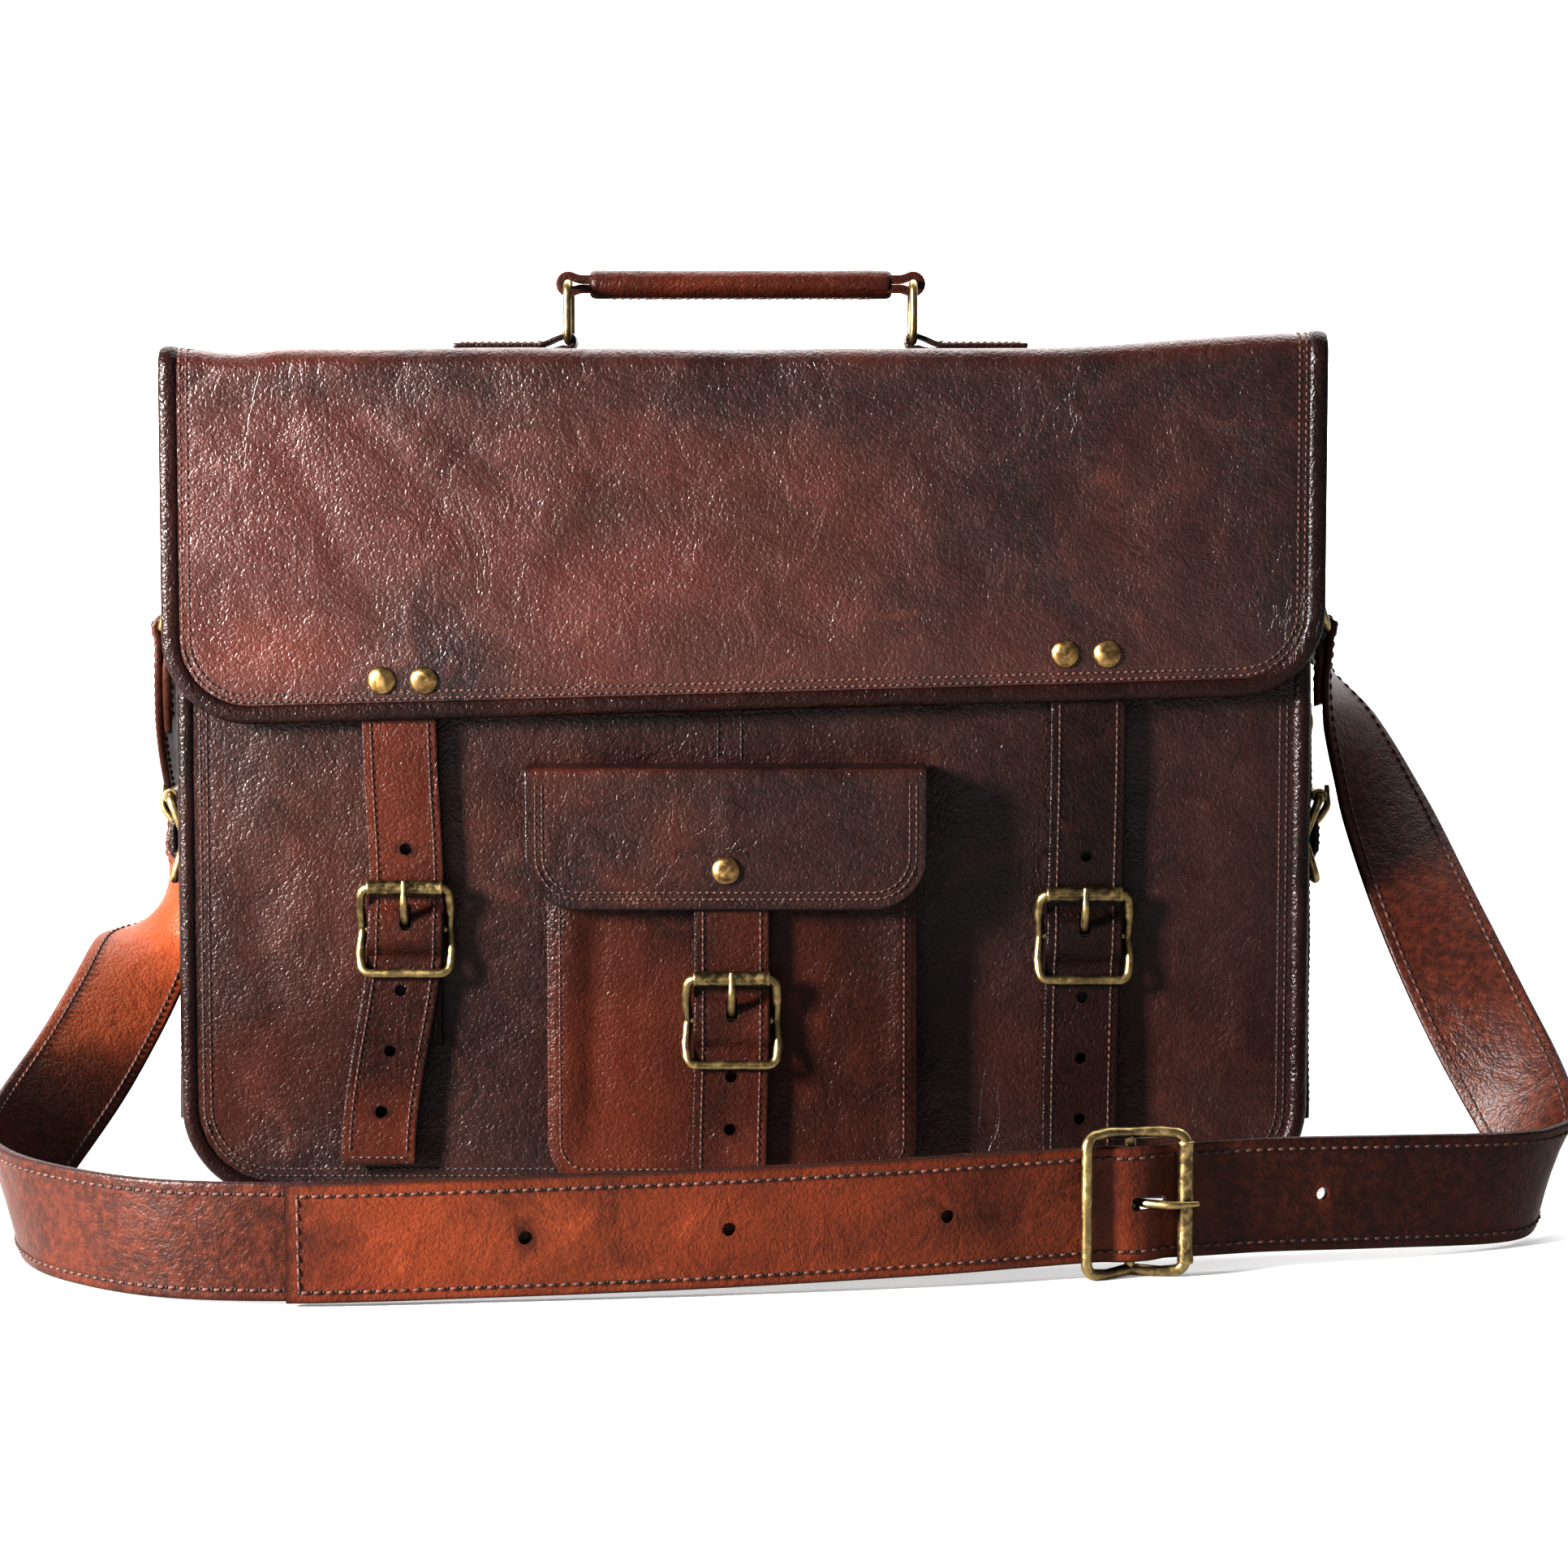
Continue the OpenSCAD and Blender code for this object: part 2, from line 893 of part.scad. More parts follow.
// strip of leather through stations [x, y, z, lean, shift], where lean 0 stands on
// edge, lean 1 has its width along Y, and shift moves it along its own thickness
module strip(stations, w, t) {
  n = len(stations);
  pos = [for (s = stations) [s[0], s[1], s[2]]];
  tan_v = [for (i = [0:n - 1]) unit(pos[min(i + 1, n - 1)] - pos[max(i - 1, 0)])];
  wide = [
    for (i = [0:n - 1])
      let (
        a = stations[i][3] * 90,
        v = [0, sin(a), cos(a)]
      )
        unit(v - (v * tan_v[i]) * tan_v[i])
  ];
  side = [for (i = [0:n - 1]) cross(tan_v[i], wide[i])];
  pts = [
    for (i = [0:n - 1])
      for (c = [[-1, -1], [1, -1], [1, 1], [-1, 1]])
        pos[i] + wide[i] * c[0] * w / 2 + side[i] * (c[1] * t / 2 + stations[i][4])
  ];
  walls = [
    for (i = [0:n - 2])
      for (c = [0:3])
        for (f = [
          [4 * i + c, 4 * i + 4 + c, 4 * i + (c + 1) % 4],
          [4 * i + (c + 1) % 4, 4 * i + 4 + c, 4 * i + 4 + (c + 1) % 4]
        ])
          f
  ];
  e = 4 * (n - 1);
  polyhedron(points = pts,
             faces = concat(walls, [[0, 1, 2], [0, 2, 3], [e + 2, e + 1, e], [e + 3, e + 2, e]]));
}

half_sling = sling_w / 2;
sling_shift = 1.85;
sling_bump = 3.5;
sling_fold = sling_wire / 2 + 0.05 + chape_t;

// stations down from the right ring to the floor: x, y, z, lean
right_fall = [
  [231, -26, 136, 0.5], [244, -48, 106, 0.3], [260, -73, 72, 0.12],
  [273, -95, 44, 0.03], [279, -113, 29, 0], [275, -128, 23, 0]
];

// stations along the floor in front of the bag, right to left
front_line = [
  [258, -144, 22, 0], [218, -162, 24, 0], [176, -176.8, 24.8, 0], [152, -183.4, 24.8, 0],
  [128, -190, 24.8, 0], [94, -199.4, 24.2, 0], [60, -208.7, 23.5, 0], [-10, -221.5, 22, 0],
  [-80, -230.5, 21, 0], [-143, -236, 20.3, 0]
];

// stations from the left part of the front up to the left side of the bag
left_rise = [
  [-190, -226, 19.6, 0], [-228, -196, 19.4, 0], [-247, -163, 19.8, 0],
  [-251, -130, 21.5, 0], [-245, -100, 29, 0.08], [-235, -62, 46, 0.3],
  [-225, -16, 69, 0.6], [-221.5, 14, 84.3, 0.8], [-220, 24, 93, 0.86]
];

whole_line = concat(right_fall, front_line, left_rise);
tip_index = len(right_fall) + len(front_line) - 1;

buckle_at = front_line[4];
buckle_turn = atan2(front_line[3][1] - front_line[5][1], front_line[3][0] - front_line[5][0]);

module at_sling() {
  translate([buckle_at[0], buckle_at[1], buckle_at[2]])
    rotate([0, 0, buckle_turn])
      rotate([0, 90, 0])
        children();
}

function bar_gap(p) = norm([p[0] - buckle_at[0], p[1] - buckle_at[1]]);

function over_bar(p) = -sling_shift - sling_bump * max(0, min(1, (11 - bar_gap(p)) / 7));

module sling_hole(x, y) {
  translate([x, y, 22.5])
    rotate([90, 0, buckle_turn * 0.6])
      cylinder(r = 2.2, h = 30, center = true);
}

module sling_holed() {
  line = smooth(whole_line, 7);
  stations = [for (i = [0:7 * tip_index]) [line[i][0], line[i][1], line[i][2], line[i][3], over_bar(line[i])]];
  color(tan)
    difference() {
      strip(stations, sling_w, sling_t);
      at_sling()
        translate([-2.1, -16, -4])
          cube([4.2, 16, 14.5]);
      sling_hole(192, -171.5);
      sling_hole(66, -207.1);
      sling_hole(-3, -220.4);
      sling_hole(-67, -229);
    }
}

module sling_buckled() {
  line = smooth(whole_line, 7);
  first = 7 * (len(right_fall) + 6);
  stations = [for (i = [first:len(line) - 1]) [line[i][0], line[i][1], line[i][2], line[i][3], sling_shift + 0.1]];
  color(tan)
    strip(stations, sling_w, sling_t);
}

module sling_chape() {
  color(tan)
    at_sling()
      chape_shape(36, sling_wire, chape_t, 62);
}

module sling_frame() {
  color(brass)
    at_sling()
      frame_shape(sling_buckle_w, sling_reach, sling_wire, sling_out_roller, sling_out_keeper);
}

module sling_roller() {
  color(brass)
    at_sling()
      roller_shape(sling_buckle_w, sling_wire, sling_roller_d, sling_reach, sling_out_roller);
}

module sling_tongue() {
  color(brass)
    at_sling()
      tongue_shape(sling_wire, sling_roller_d, sling_reach, sling_out_roller);
}

// fold of the shoulder strap round the side ring's lower bar
module sling_fold() {
  difference() {
    union() {
      rotate([90, 0, 0])
        cylinder(r = bore_r + 1.7, h = sling_w, center = true);
      translate([-bore_r - 1.5, -sling_w / 2 + 0.3, -28])
        cube([1.7, sling_w - 0.6, 28]);
    }
    rotate([90, 0, 0])
      cylinder(r = bore_r, h = sling_w + 2, center = true);
  }
}

module sling_end_right() {
  x = ring_low_x;
  z = ring_low_z;
  stations = smooth([
    [x + 1.75, 0, z - 2.6, 1, 0], [x + 2.1, -1, z - 17, 0.98, 0], [x + 6, -8, z - 36, 0.85, 0],
    [x + 11.5, -16.5, z - 52, 0.69, 0], [230.8, -25.7, 136.5, 0.505, 0]
  ], 5);
  color(tan) {
    translate([x, 0, z])
      sling_fold();
    strip(stations, sling_w - 0.2, sling_t);
  }
}

module sling_end_left() {
  x = ring_low_x;
  z = ring_low_z;
  stations = smooth([
    [-x - 1.75, 0, z - 3.2, 1, 0], [-x - 2.2, 2, z - 17, 1, 0], [-x - 3.4, 16, z - 36, 1, 0],
    [-x - 4.2, 37, z - 56, 1, 0], [-x - 4.6, 44.5, z - 77, 1, 0], [-x - 5.3, 38.5, z - 97, 0.95, 0],
    [-219.7, 26.2, 95, 0.865, 0]
  ], 4);
  color(tan) {
    translate([-x, 0, z])
      rotate([0, 0, 180])
        sling_fold();
    strip(stations, sling_w - 0.2, sling_t);
  }
}

front_panel();
back_panel();
front_edge_roll();
back_edge_roll();
gusset();
mouth_binding();
lining();
divider();
chapes();
side_anchors();
side_tabs();
side_rivets();
buckle_left();
roller_left();
tongue_left();
buckle_right();
roller_right();
tongue_right();
buckle_pocket();
roller_pocket();
tongue_pocket();
buckle_side_left();
roller_side_left();
tongue_side_left();
buckle_side_right();
roller_side_right();
tongue_side_right();
flap_rear();
flap_rear_binding();
flap_drop();
flap_drop_binding();
flap_rivets();
strap_left();
strap_right();
pocket_front();
pocket_gusset();
pocket_flap();
pocket_rivet();
pocket_strap();
side_strap_left();
side_strap_right();
side_ring_left();
side_ring_right();
handle_tabs();
ring_left();
ring_right();
grip_wrap();
grip_core();
grip_loops();
sling_holed();
sling_buckled();
sling_chape();
sling_frame();
sling_roller();
sling_tongue();
sling_end_left();
sling_end_right();
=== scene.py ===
import bpy
import bmesh
import math
import numpy as np
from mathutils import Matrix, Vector


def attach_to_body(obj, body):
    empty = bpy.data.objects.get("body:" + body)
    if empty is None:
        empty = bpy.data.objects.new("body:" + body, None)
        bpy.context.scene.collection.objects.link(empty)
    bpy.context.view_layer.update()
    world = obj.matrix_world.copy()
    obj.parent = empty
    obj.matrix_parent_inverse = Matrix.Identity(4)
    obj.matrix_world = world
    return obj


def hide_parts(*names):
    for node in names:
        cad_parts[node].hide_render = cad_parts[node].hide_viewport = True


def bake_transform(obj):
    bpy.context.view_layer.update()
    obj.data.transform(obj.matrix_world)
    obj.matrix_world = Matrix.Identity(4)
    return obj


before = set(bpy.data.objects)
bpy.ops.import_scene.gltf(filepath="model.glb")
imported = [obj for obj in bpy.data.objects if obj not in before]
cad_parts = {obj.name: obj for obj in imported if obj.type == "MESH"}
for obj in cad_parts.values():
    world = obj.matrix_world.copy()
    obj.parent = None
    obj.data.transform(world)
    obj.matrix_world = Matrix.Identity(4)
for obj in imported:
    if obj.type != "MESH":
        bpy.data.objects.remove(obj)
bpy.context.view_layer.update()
MM = 0.001
scene = bpy.context.scene

# ------------------------------------------------------------------ camera
CAM = (14.5, -1460.0, 271.0)
FOCAL = 90.0
PITCH = 4.9


def make_camera():
    data = bpy.data.cameras.new("camera")
    cam = bpy.data.objects.new("camera", data)
    scene.collection.objects.link(cam)
    data.lens = FOCAL
    data.sensor_width = 36.0
    cam.location = [c * MM for c in CAM]
    cam.rotation_euler = (math.radians(90 - PITCH), 0, 0)
    scene.camera = cam


make_camera()


# ------------------------------------------------------------------ noise
def _hash(ix, iy, iz, s):
    n = (ix * 374761393 + iy * 668265263 + iz * 1442695041 + s * 97531) & 0xFFFFFFFF
    n = ((n ^ (n >> 13)) * 1274126177) & 0xFFFFFFFF
    n = (n ^ (n >> 16)) & 0xFFFFFFFF
    return (n & 0xFFFF) / 32767.5 - 1.0


def vnoise(x, y, z=0.0, s=0):
    """Smooth value noise, -1 to 1."""
    x, y, z = np.broadcast_arrays(np.asarray(x, float), np.asarray(y, float), np.asarray(z, float))
    ix, iy, iz = (np.floor(a).astype(np.int64) for a in (x, y, z))
    fx, fy, fz = x - ix, y - iy, z - iz
    fx, fy, fz = (f * f * (3 - 2 * f) for f in (fx, fy, fz))
    out = 0
    for dx in (0, 1):
        for dy in (0, 1):
            for dz in (0, 1):
                w = (fx if dx else 1 - fx) * (fy if dy else 1 - fy) * (fz if dz else 1 - fz)
                out = out + w * _hash(ix + dx, iy + dy, iz + dz, s)
    return out


def fbm(x, y, z=0.0, s=0, octaves=3):
    out, a, f = 0, 1.0, 1.0
    for k in range(octaves):
        out = out + a * vnoise(np.asarray(x) * f, np.asarray(y) * f, np.asarray(z) * f, s + k)
        a *= 0.5
        f *= 2.03
    return out


def smooth(a, b, x):
    t = np.clip((np.asarray(x, float) - a) / (b - a), 0, 1)
    return t * t * (3 - 2 * t)


def bump(x, c, w):
    return np.exp(-((np.asarray(x, float) - c) / w) ** 2)


# ------------------------------------------------------------------ materials
def node_tree(name):
    m = bpy.data.materials.new(name)
    m.use_nodes = True
    nt = m.node_tree
    nt.nodes.clear()
    out = nt.nodes.new("ShaderNodeOutputMaterial")
    bsdf = nt.nodes.new("ShaderNodeBsdfPrincipled")
    nt.links.new(bsdf.outputs[0], out.inputs["Surface"])
    return m, nt, bsdf


class Build:
    """Small helpers for wiring shader nodes."""

    def __init__(self, nt):
        self.nt = nt

    def put(self, socket, value):
        if isinstance(value, bpy.types.NodeSocket):
            self.nt.links.new(value, socket)
        else:
            socket.default_value = value

    def math(self, op, a, b=0.0, c=0.0, clamp=False):
        n = self.nt.nodes.new("ShaderNodeMath")
        n.operation = op
        n.use_clamp = clamp
        for i, v in enumerate((a, b, c)):
            self.put(n.inputs[i], v)
        return n.outputs[0]

    def mix(self, f, a, b):
        n = self.nt.nodes.new("ShaderNodeMix")
        n.data_type = "RGBA"
        n.clamp_factor = True
        self.put(n.inputs[0], f)
        self.put(n.inputs[6], a if not isinstance(a, tuple) else (*a, 1.0))
        self.put(n.inputs[7], b if not isinstance(b, tuple) else (*b, 1.0))
        return n.outputs[2]

    def attr(self, name, vector=False):
        n = self.nt.nodes.new("ShaderNodeAttribute")
        n.attribute_type = "GEOMETRY"
        n.attribute_name = name
        return n.outputs["Vector" if vector else "Fac"]

    def scaled(self, vec, s):
        n = self.nt.nodes.new("ShaderNodeVectorMath")
        n.operation = "MULTIPLY"
        self.put(n.inputs[0], vec)
        n.inputs[1].default_value = s if isinstance(s, tuple) else (s, s, s)
        return n.outputs[0]

    def noise(self, vec, scale, detail=3.0, rough=0.55, distortion=0.0):
        n = self.nt.nodes.new("ShaderNodeTexNoise")
        n.inputs["Scale"].default_value = scale
        n.inputs["Detail"].default_value = detail
        n.inputs["Roughness"].default_value = rough
        n.inputs["Distortion"].default_value = distortion
        self.put(n.inputs["Vector"], vec)
        return n.outputs["Fac"]

    def voronoi(self, vec, scale, feature="F1"):
        n = self.nt.nodes.new("ShaderNodeTexVoronoi")
        n.feature = feature
        n.inputs["Scale"].default_value = scale
        self.put(n.inputs["Vector"], vec)
        return n.outputs["Distance"]

    def ramp(self, f, lo, hi):
        n = self.nt.nodes.new("ShaderNodeMapRange")
        n.interpolation_type = "SMOOTHSTEP"
        n.clamp = True
        self.put(n.inputs["Value"], f)
        n.inputs["From Min"].default_value = lo
        n.inputs["From Max"].default_value = hi
        return n.outputs["Result"]

    def bump(self, height, distance, strength):
        n = self.nt.nodes.new("ShaderNodeBump")
        n.inputs["Strength"].default_value = strength
        n.inputs["Distance"].default_value = distance
        self.put(n.inputs["Height"], height)
        return n.outputs["Normal"]


def leather(name, base, dark, rust, grain=1.0, rough=0.42, crease=1.0, worn=0.3, spec=0.2):
    """Waxed goat leather. Attributes: rest (mm), tone (-1 dark to 1 rust; its dark end also carries painted
    shade on the front panel), rim (1 at an edge).
    """
    m, nt, bsdf = node_tree(name)
    b = Build(nt)
    rest = b.attr("rest", True)
    tone = b.attr("tone")
    rim = b.attr("rim")
    big = b.noise(rest, 0.011, 4.0, 0.6, 0.6)
    mid = b.noise(rest, 0.045, 5.0, 0.62, 0.8)
    small = b.noise(rest, 0.33, 4.0, 0.6)
    hair = b.noise(b.scaled(rest, (1.0, 1.0, 0.16)), 0.9, 3.0, 0.7, 1.5)
    col = b.mix(b.ramp(big, 0.36, 0.64), dark, base)
    col = b.mix(b.math("MULTIPLY", b.ramp(mid, 0.52, 0.78), 0.55), col, rust)
    col = b.mix(b.math("MULTIPLY", b.ramp(mid, 0.50, 0.24), 0.55), col, dark)
    up = b.math("MAXIMUM", tone, 0.0, clamp=True)
    down = b.math("MULTIPLY", tone, -1.0, clamp=True)
    col = b.mix(up, col, rust)
    col = b.mix(down, col, dark)
    # fine dye variation and rubbed light streaks
    col = b.mix(b.math("MULTIPLY", b.ramp(small, 0.35, 0.75), 0.30), col,
                tuple(min(1, c * 1.5) for c in base))
    col = b.mix(b.math("MULTIPLY", b.ramp(hair, 0.60, 0.78), worn * 0.5), col,
                tuple(min(1, c * 1.9 + 0.002) for c in base))
    # pebble grain
    warp = b.nt.nodes.new("ShaderNodeVectorMath")
    warp.operation = "MULTIPLY_ADD"
    noise_vec = b.nt.nodes.new("ShaderNodeTexNoise")
    noise_vec.inputs["Scale"].default_value = 0.5
    nt.links.new(rest, noise_vec.inputs["Vector"])
    nt.links.new(noise_vec.outputs["Color"], warp.inputs[0])
    warp.inputs[1].default_value = (1.6, 1.6, 1.6)
    nt.links.new(rest, warp.inputs[2])
    cells = b.voronoi(warp.outputs[0], 0.95)
    cells2 = b.voronoi(warp.outputs[0], 0.42, "DISTANCE_TO_EDGE")
    pits = b.ramp(cells, 0.35, 0.85)
    col = b.mix(b.math("MULTIPLY", pits, 0.28 * grain), col, tuple(c * 0.45 for c in dark))
    # long creases: thin dark lines where the noise crosses its middle
    wave = b.noise(b.scaled(rest, (1.0, 1.0, 0.55)), 0.022, 5.0, 0.58, 1.4)
    line = b.math("ABSOLUTE", b.math("SUBTRACT", wave, 0.5))
    lines = b.math("SUBTRACT", 1.0, b.ramp(line, 0.0, 0.012))
    place = b.ramp(b.noise(rest, 0.016, 2.0), 0.5, 0.68)
    lines = b.math("MULTIPLY", b.math("MULTIPLY", lines, place), crease)
    col = b.mix(b.math("MULTIPLY", lines, 0.22), col, dark)
    # dark burnished rims
    col = b.mix(b.math("MULTIPLY", rim, 0.88), col, tuple(c * 0.55 for c in dark))
    nt.links.new(col, bsdf.inputs["Base Color"])
    r = b.math("ADD", rough - 0.12, b.math("MULTIPLY", mid, 0.26))
    r = b.math("ADD", r, b.math("MULTIPLY", small, 0.10), clamp=True)
    nt.links.new(r, bsdf.inputs["Roughness"])
    bsdf.inputs["Specular IOR Level"].default_value = spec
    h = b.math("MULTIPLY", b.math("SUBTRACT", 1.0, cells), 0.16 * grain)
    h = b.math("ADD", h, b.math("MULTIPLY", b.ramp(cells2, 0.0, 0.25), 0.10 * grain))
    h = b.math("ADD", h, b.math("MULTIPLY", hair, 0.04 * grain))
    h = b.math("ADD", h, b.math("MULTIPLY", mid, 1.4))
    h = b.math("SUBTRACT", h, b.math("MULTIPLY", lines, 0.14))
    nt.links.new(b.bump(h, MM, 0.8), bsdf.inputs["Normal"])
    return m


def brass(name, base=(0.42, 0.33, 0.17), dark=(0.10, 0.075, 0.04), rough=0.30):
    m, nt, bsdf = node_tree(name)
    b = Build(nt)
    tc = nt.nodes.new("ShaderNodeTexCoord").outputs["Object"]
    v = b.scaled(tc, 1000.0)
    n1 = b.noise(v, 0.35, 4.0, 0.6, 0.4)
    n2 = b.noise(v, 1.8, 3.0, 0.6)
    geo = nt.nodes.new("ShaderNodeNewGeometry").outputs["Pointiness"]
    worn = b.ramp(geo, 0.5, 0.56)
    col = b.mix(b.ramp(n1, 0.40, 0.66), dark, base)
    col = b.mix(b.math("MULTIPLY", b.ramp(n2, 0.55, 0.75), 0.4), col, tuple(min(1, c * 1.5) for c in base))
    col = b.mix(b.math("MULTIPLY", worn, 0.5), col, tuple(min(1, c * 1.7) for c in base))
    nt.links.new(col, bsdf.inputs["Base Color"])
    bsdf.inputs["Metallic"].default_value = 1.0
    r = b.math("ADD", rough - 0.08, b.math("MULTIPLY", n1, 0.30), clamp=True)
    nt.links.new(r, bsdf.inputs["Roughness"])
    nt.links.new(b.bump(b.math("ADD", n2, b.math("MULTIPLY", n1, 0.6)), 0.0001, 0.5), bsdf.inputs["Normal"])
    return m


def thread(name, base, dark):
    m, nt, bsdf = node_tree(name)
    b = Build(nt)
    tc = nt.nodes.new("ShaderNodeTexCoord").outputs["Object"]
    v = b.scaled(tc, 1000.0)
    n1 = b.noise(v, 0.06, 3.0, 0.6)
    n2 = b.noise(v, 3.0, 2.0, 0.6)
    col = b.mix(b.ramp(n1, 0.35, 0.7), dark, base)
    col = b.mix(b.math("MULTIPLY", b.ramp(n2, 0.4, 0.8), 0.5), col, tuple(c * 0.5 for c in dark))
    nt.links.new(col, bsdf.inputs["Base Color"])
    bsdf.inputs["Roughness"].default_value = 0.75
    nt.links.new(b.bump(n2, 0.0001, 0.6), bsdf.inputs["Normal"])
    return m


def cloth(name, base):
    m, nt, bsdf = node_tree(name)
    b = Build(nt)
    rest = b.attr("rest", True)
    w = nt.nodes.new("ShaderNodeTexWave")
    w.inputs["Scale"].default_value = 0.55
    nt.links.new(rest, w.inputs["Vector"])
    w2 = nt.nodes.new("ShaderNodeTexWave")
    w2.bands_direction = "Z"
    w2.inputs["Scale"].default_value = 0.55
    nt.links.new(rest, w2.inputs["Vector"])
    weave = b.math("MULTIPLY", w.outputs["Fac"], w2.outputs["Fac"])
    n1 = b.noise(rest, 0.03, 4.0, 0.6)
    col = b.mix(b.ramp(n1, 0.3, 0.7), tuple(c * 0.8 for c in base), base)
    col = b.mix(b.math("MULTIPLY", weave, 0.35), col, tuple(c * 0.55 for c in base))
    nt.links.new(col, bsdf.inputs["Base Color"])
    bsdf.inputs["Roughness"].default_value = 0.9
    nt.links.new(b.bump(weave, 0.0002, 0.6), bsdf.inputs["Normal"])
    return m


BROWN = (0.0235, 0.0056, 0.0040)
DARK = (0.0062, 0.0019, 0.0015)
MAT = {
    "brown": leather("leather_brown", BROWN, DARK, (0.050, 0.0112, 0.0062), rough=0.31, spec=0.36),
    "front": leather("leather_front", (0.0215, 0.0058, 0.0040), (0.0072, 0.0023, 0.0018),
                     (0.044, 0.0100, 0.0050), rough=0.31, spec=0.25),
    "dark": leather("leather_dark", (0.0120, 0.0034, 0.0025), (0.0042, 0.0016, 0.0013),
                    (0.026, 0.0062, 0.0038), rough=0.28, spec=0.16),
    "rust": leather("leather_rust", (0.025, 0.0054, 0.0028), (0.0090, 0.0024, 0.0016),
                    (0.052, 0.0118, 0.0050), rough=0.31, spec=0.16),
    "tan": leather("leather_tan", (0.078, 0.0175, 0.0070), (0.0180, 0.0048, 0.0028), (0.155, 0.0390, 0.0135),
                   rough=0.38, grain=0.7, crease=0.6, spec=0.14),
    "suede": leather("leather_suede", (0.06, 0.028, 0.015), (0.034, 0.015, 0.0085), (0.085, 0.040, 0.021),
                     rough=0.8, grain=0.5),
    "brass": brass("antique_brass", base=(0.23, 0.175, 0.085), dark=(0.065, 0.048, 0.025)),
    "brass_cap": brass("brass_cap", base=(0.27, 0.180, 0.080), dark=(0.10, 0.064, 0.030), rough=0.28),
    "thread": thread("thread_brown", (0.070, 0.0195, 0.0095), (0.026, 0.0075, 0.0042)),
    "thread_dark": thread("thread_dark", (0.042, 0.0125, 0.0070), (0.015, 0.0048, 0.0032)),
    "hole": thread("hole_shadow", (0.0035, 0.0018, 0.0014), (0.0018, 0.0010, 0.0009)),
    "cloth": cloth("lining_cloth", (0.085, 0.066, 0.045)),
}


# ------------------------------------------------------------------ mesh helpers
def new_object(name, verts, faces, mat, attrs=None):
    me = bpy.data.meshes.new(name)
    me.from_pydata([tuple(v) for v in np.asarray(verts) * MM], [], faces)
    me.update()
    ob = bpy.data.objects.new(name, me)
    scene.collection.objects.link(ob)
    me.materials.append(MAT[mat])
    me.polygons.foreach_set("use_smooth", [True] * len(me.polygons))
    a = me.attributes.new("rest", "FLOAT_VECTOR", "POINT")
    a.data.foreach_set("vector", np.asarray(verts, np.float32).ravel())
    base = {"tone": 0.0, "rim": 0.0}
    base.update(attrs or {})
    for k, v in base.items():
        a = me.attributes.new(k, "FLOAT", "POINT")
        a.data.foreach_set("value", np.broadcast_to(np.asarray(v, np.float32), (len(me.vertices),)).copy())
    return ob


def fix_normals(ob):
    bm = bmesh.new()
    bm.from_mesh(ob.data)
    bmesh.ops.recalc_face_normals(bm, faces=bm.faces)
    bm.to_mesh(ob.data)
    bm.free()
    return ob


def grid_faces(nr, nc, start=0, flip=False, wrap=False):
    out = []
    cols = nc if wrap else nc - 1
    for i in range(nr - 1):
        for j in range(cols):
            a = start + i * nc + j
            c = start + i * nc + (j + 1) % nc
            f = (a, c, c + nc, a + nc)
            out.append(f[::-1] if flip else f)
    return out


def slab(name, P, N, t, mat, tone=None, rim=None, round_edge=0.5):
    """Closed sheet from a grid of outer points P[r, c] and normals N, thickness t."""
    nr, nc, _ = P.shape
    T = np.broadcast_to(np.asarray(t, float), (nr, nc))
    Q = P - N * T[..., None]
    mid = (P + Q) / 2
    # middle ring pushed out a little, so that the cut edge is rounded
    edge = [(0, j) for j in range(nc)] + [(i, nc - 1) for i in range(1, nr)]
    edge += [(nr - 1, j) for j in range(nc - 2, -1, -1)] + [(i, 0) for i in range(nr - 2, 0, -1)]
    ring = []
    for (i, j) in edge:
        inner = P[min(max(i, 1), nr - 2), min(max(j, 1), nc - 2)]
        d = P[i, j] - inner
        l = np.linalg.norm(d)
        ring.append(mid[i, j] + (d / l * round_edge if l > 1e-9 else 0))
    n = nr * nc
    verts = np.concatenate([P.reshape(-1, 3), Q.reshape(-1, 3), np.array(ring)])
    faces = grid_faces(nr, nc) + grid_faces(nr, nc, n, True)
    m = len(edge)
    for k in range(m):
        a = edge[k][0] * nc + edge[k][1]
        b = edge[(k + 1) % m][0] * nc + edge[(k + 1) % m][1]
        r0, r1 = 2 * n + k, 2 * n + (k + 1) % m
        faces.append((b, a, r0, r1))
        faces.append((r1, r0, a + n, b + n))
    to = np.zeros((nr, nc)) if tone is None else np.broadcast_to(tone, (nr, nc))
    ri = np.zeros((nr, nc)) if rim is None else np.broadcast_to(rim, (nr, nc))
    er = np.array([ri[i, j] for i, j in edge])
    et = np.array([to[i, j] for i, j in edge])
    attrs = {
        "tone": np.concatenate([to.ravel(), to.ravel(), et]),
        "rim": np.concatenate([ri.ravel(), ri.ravel(), np.maximum(er, 0.75)]),
    }
    ob = new_object(name, verts, faces, mat, attrs=attrs)
    return fix_normals(ob)


def numeric_normals(f, x, s, e=0.4):
    px = f(x + e, s) - f(x - e, s)
    ps = f(x, s + e) - f(x, s - e)
    n = np.cross(px, ps)
    return n / np.maximum(np.linalg.norm(n, axis=-1, keepdims=True), 1e-9)


def join(objs, name):
    for o in bpy.context.selected_objects:
        o.select_set(False)
    for o in objs:
        o.select_set(True)
    bpy.context.view_layer.objects.active = objs[0]
    bpy.ops.object.join()
    objs[0].name = name
    return objs[0]


def tangents(path):
    """Unit direction of travel at each point of a path."""
    t = np.gradient(path, axis=0)
    return t / np.linalg.norm(t, axis=1, keepdims=True)


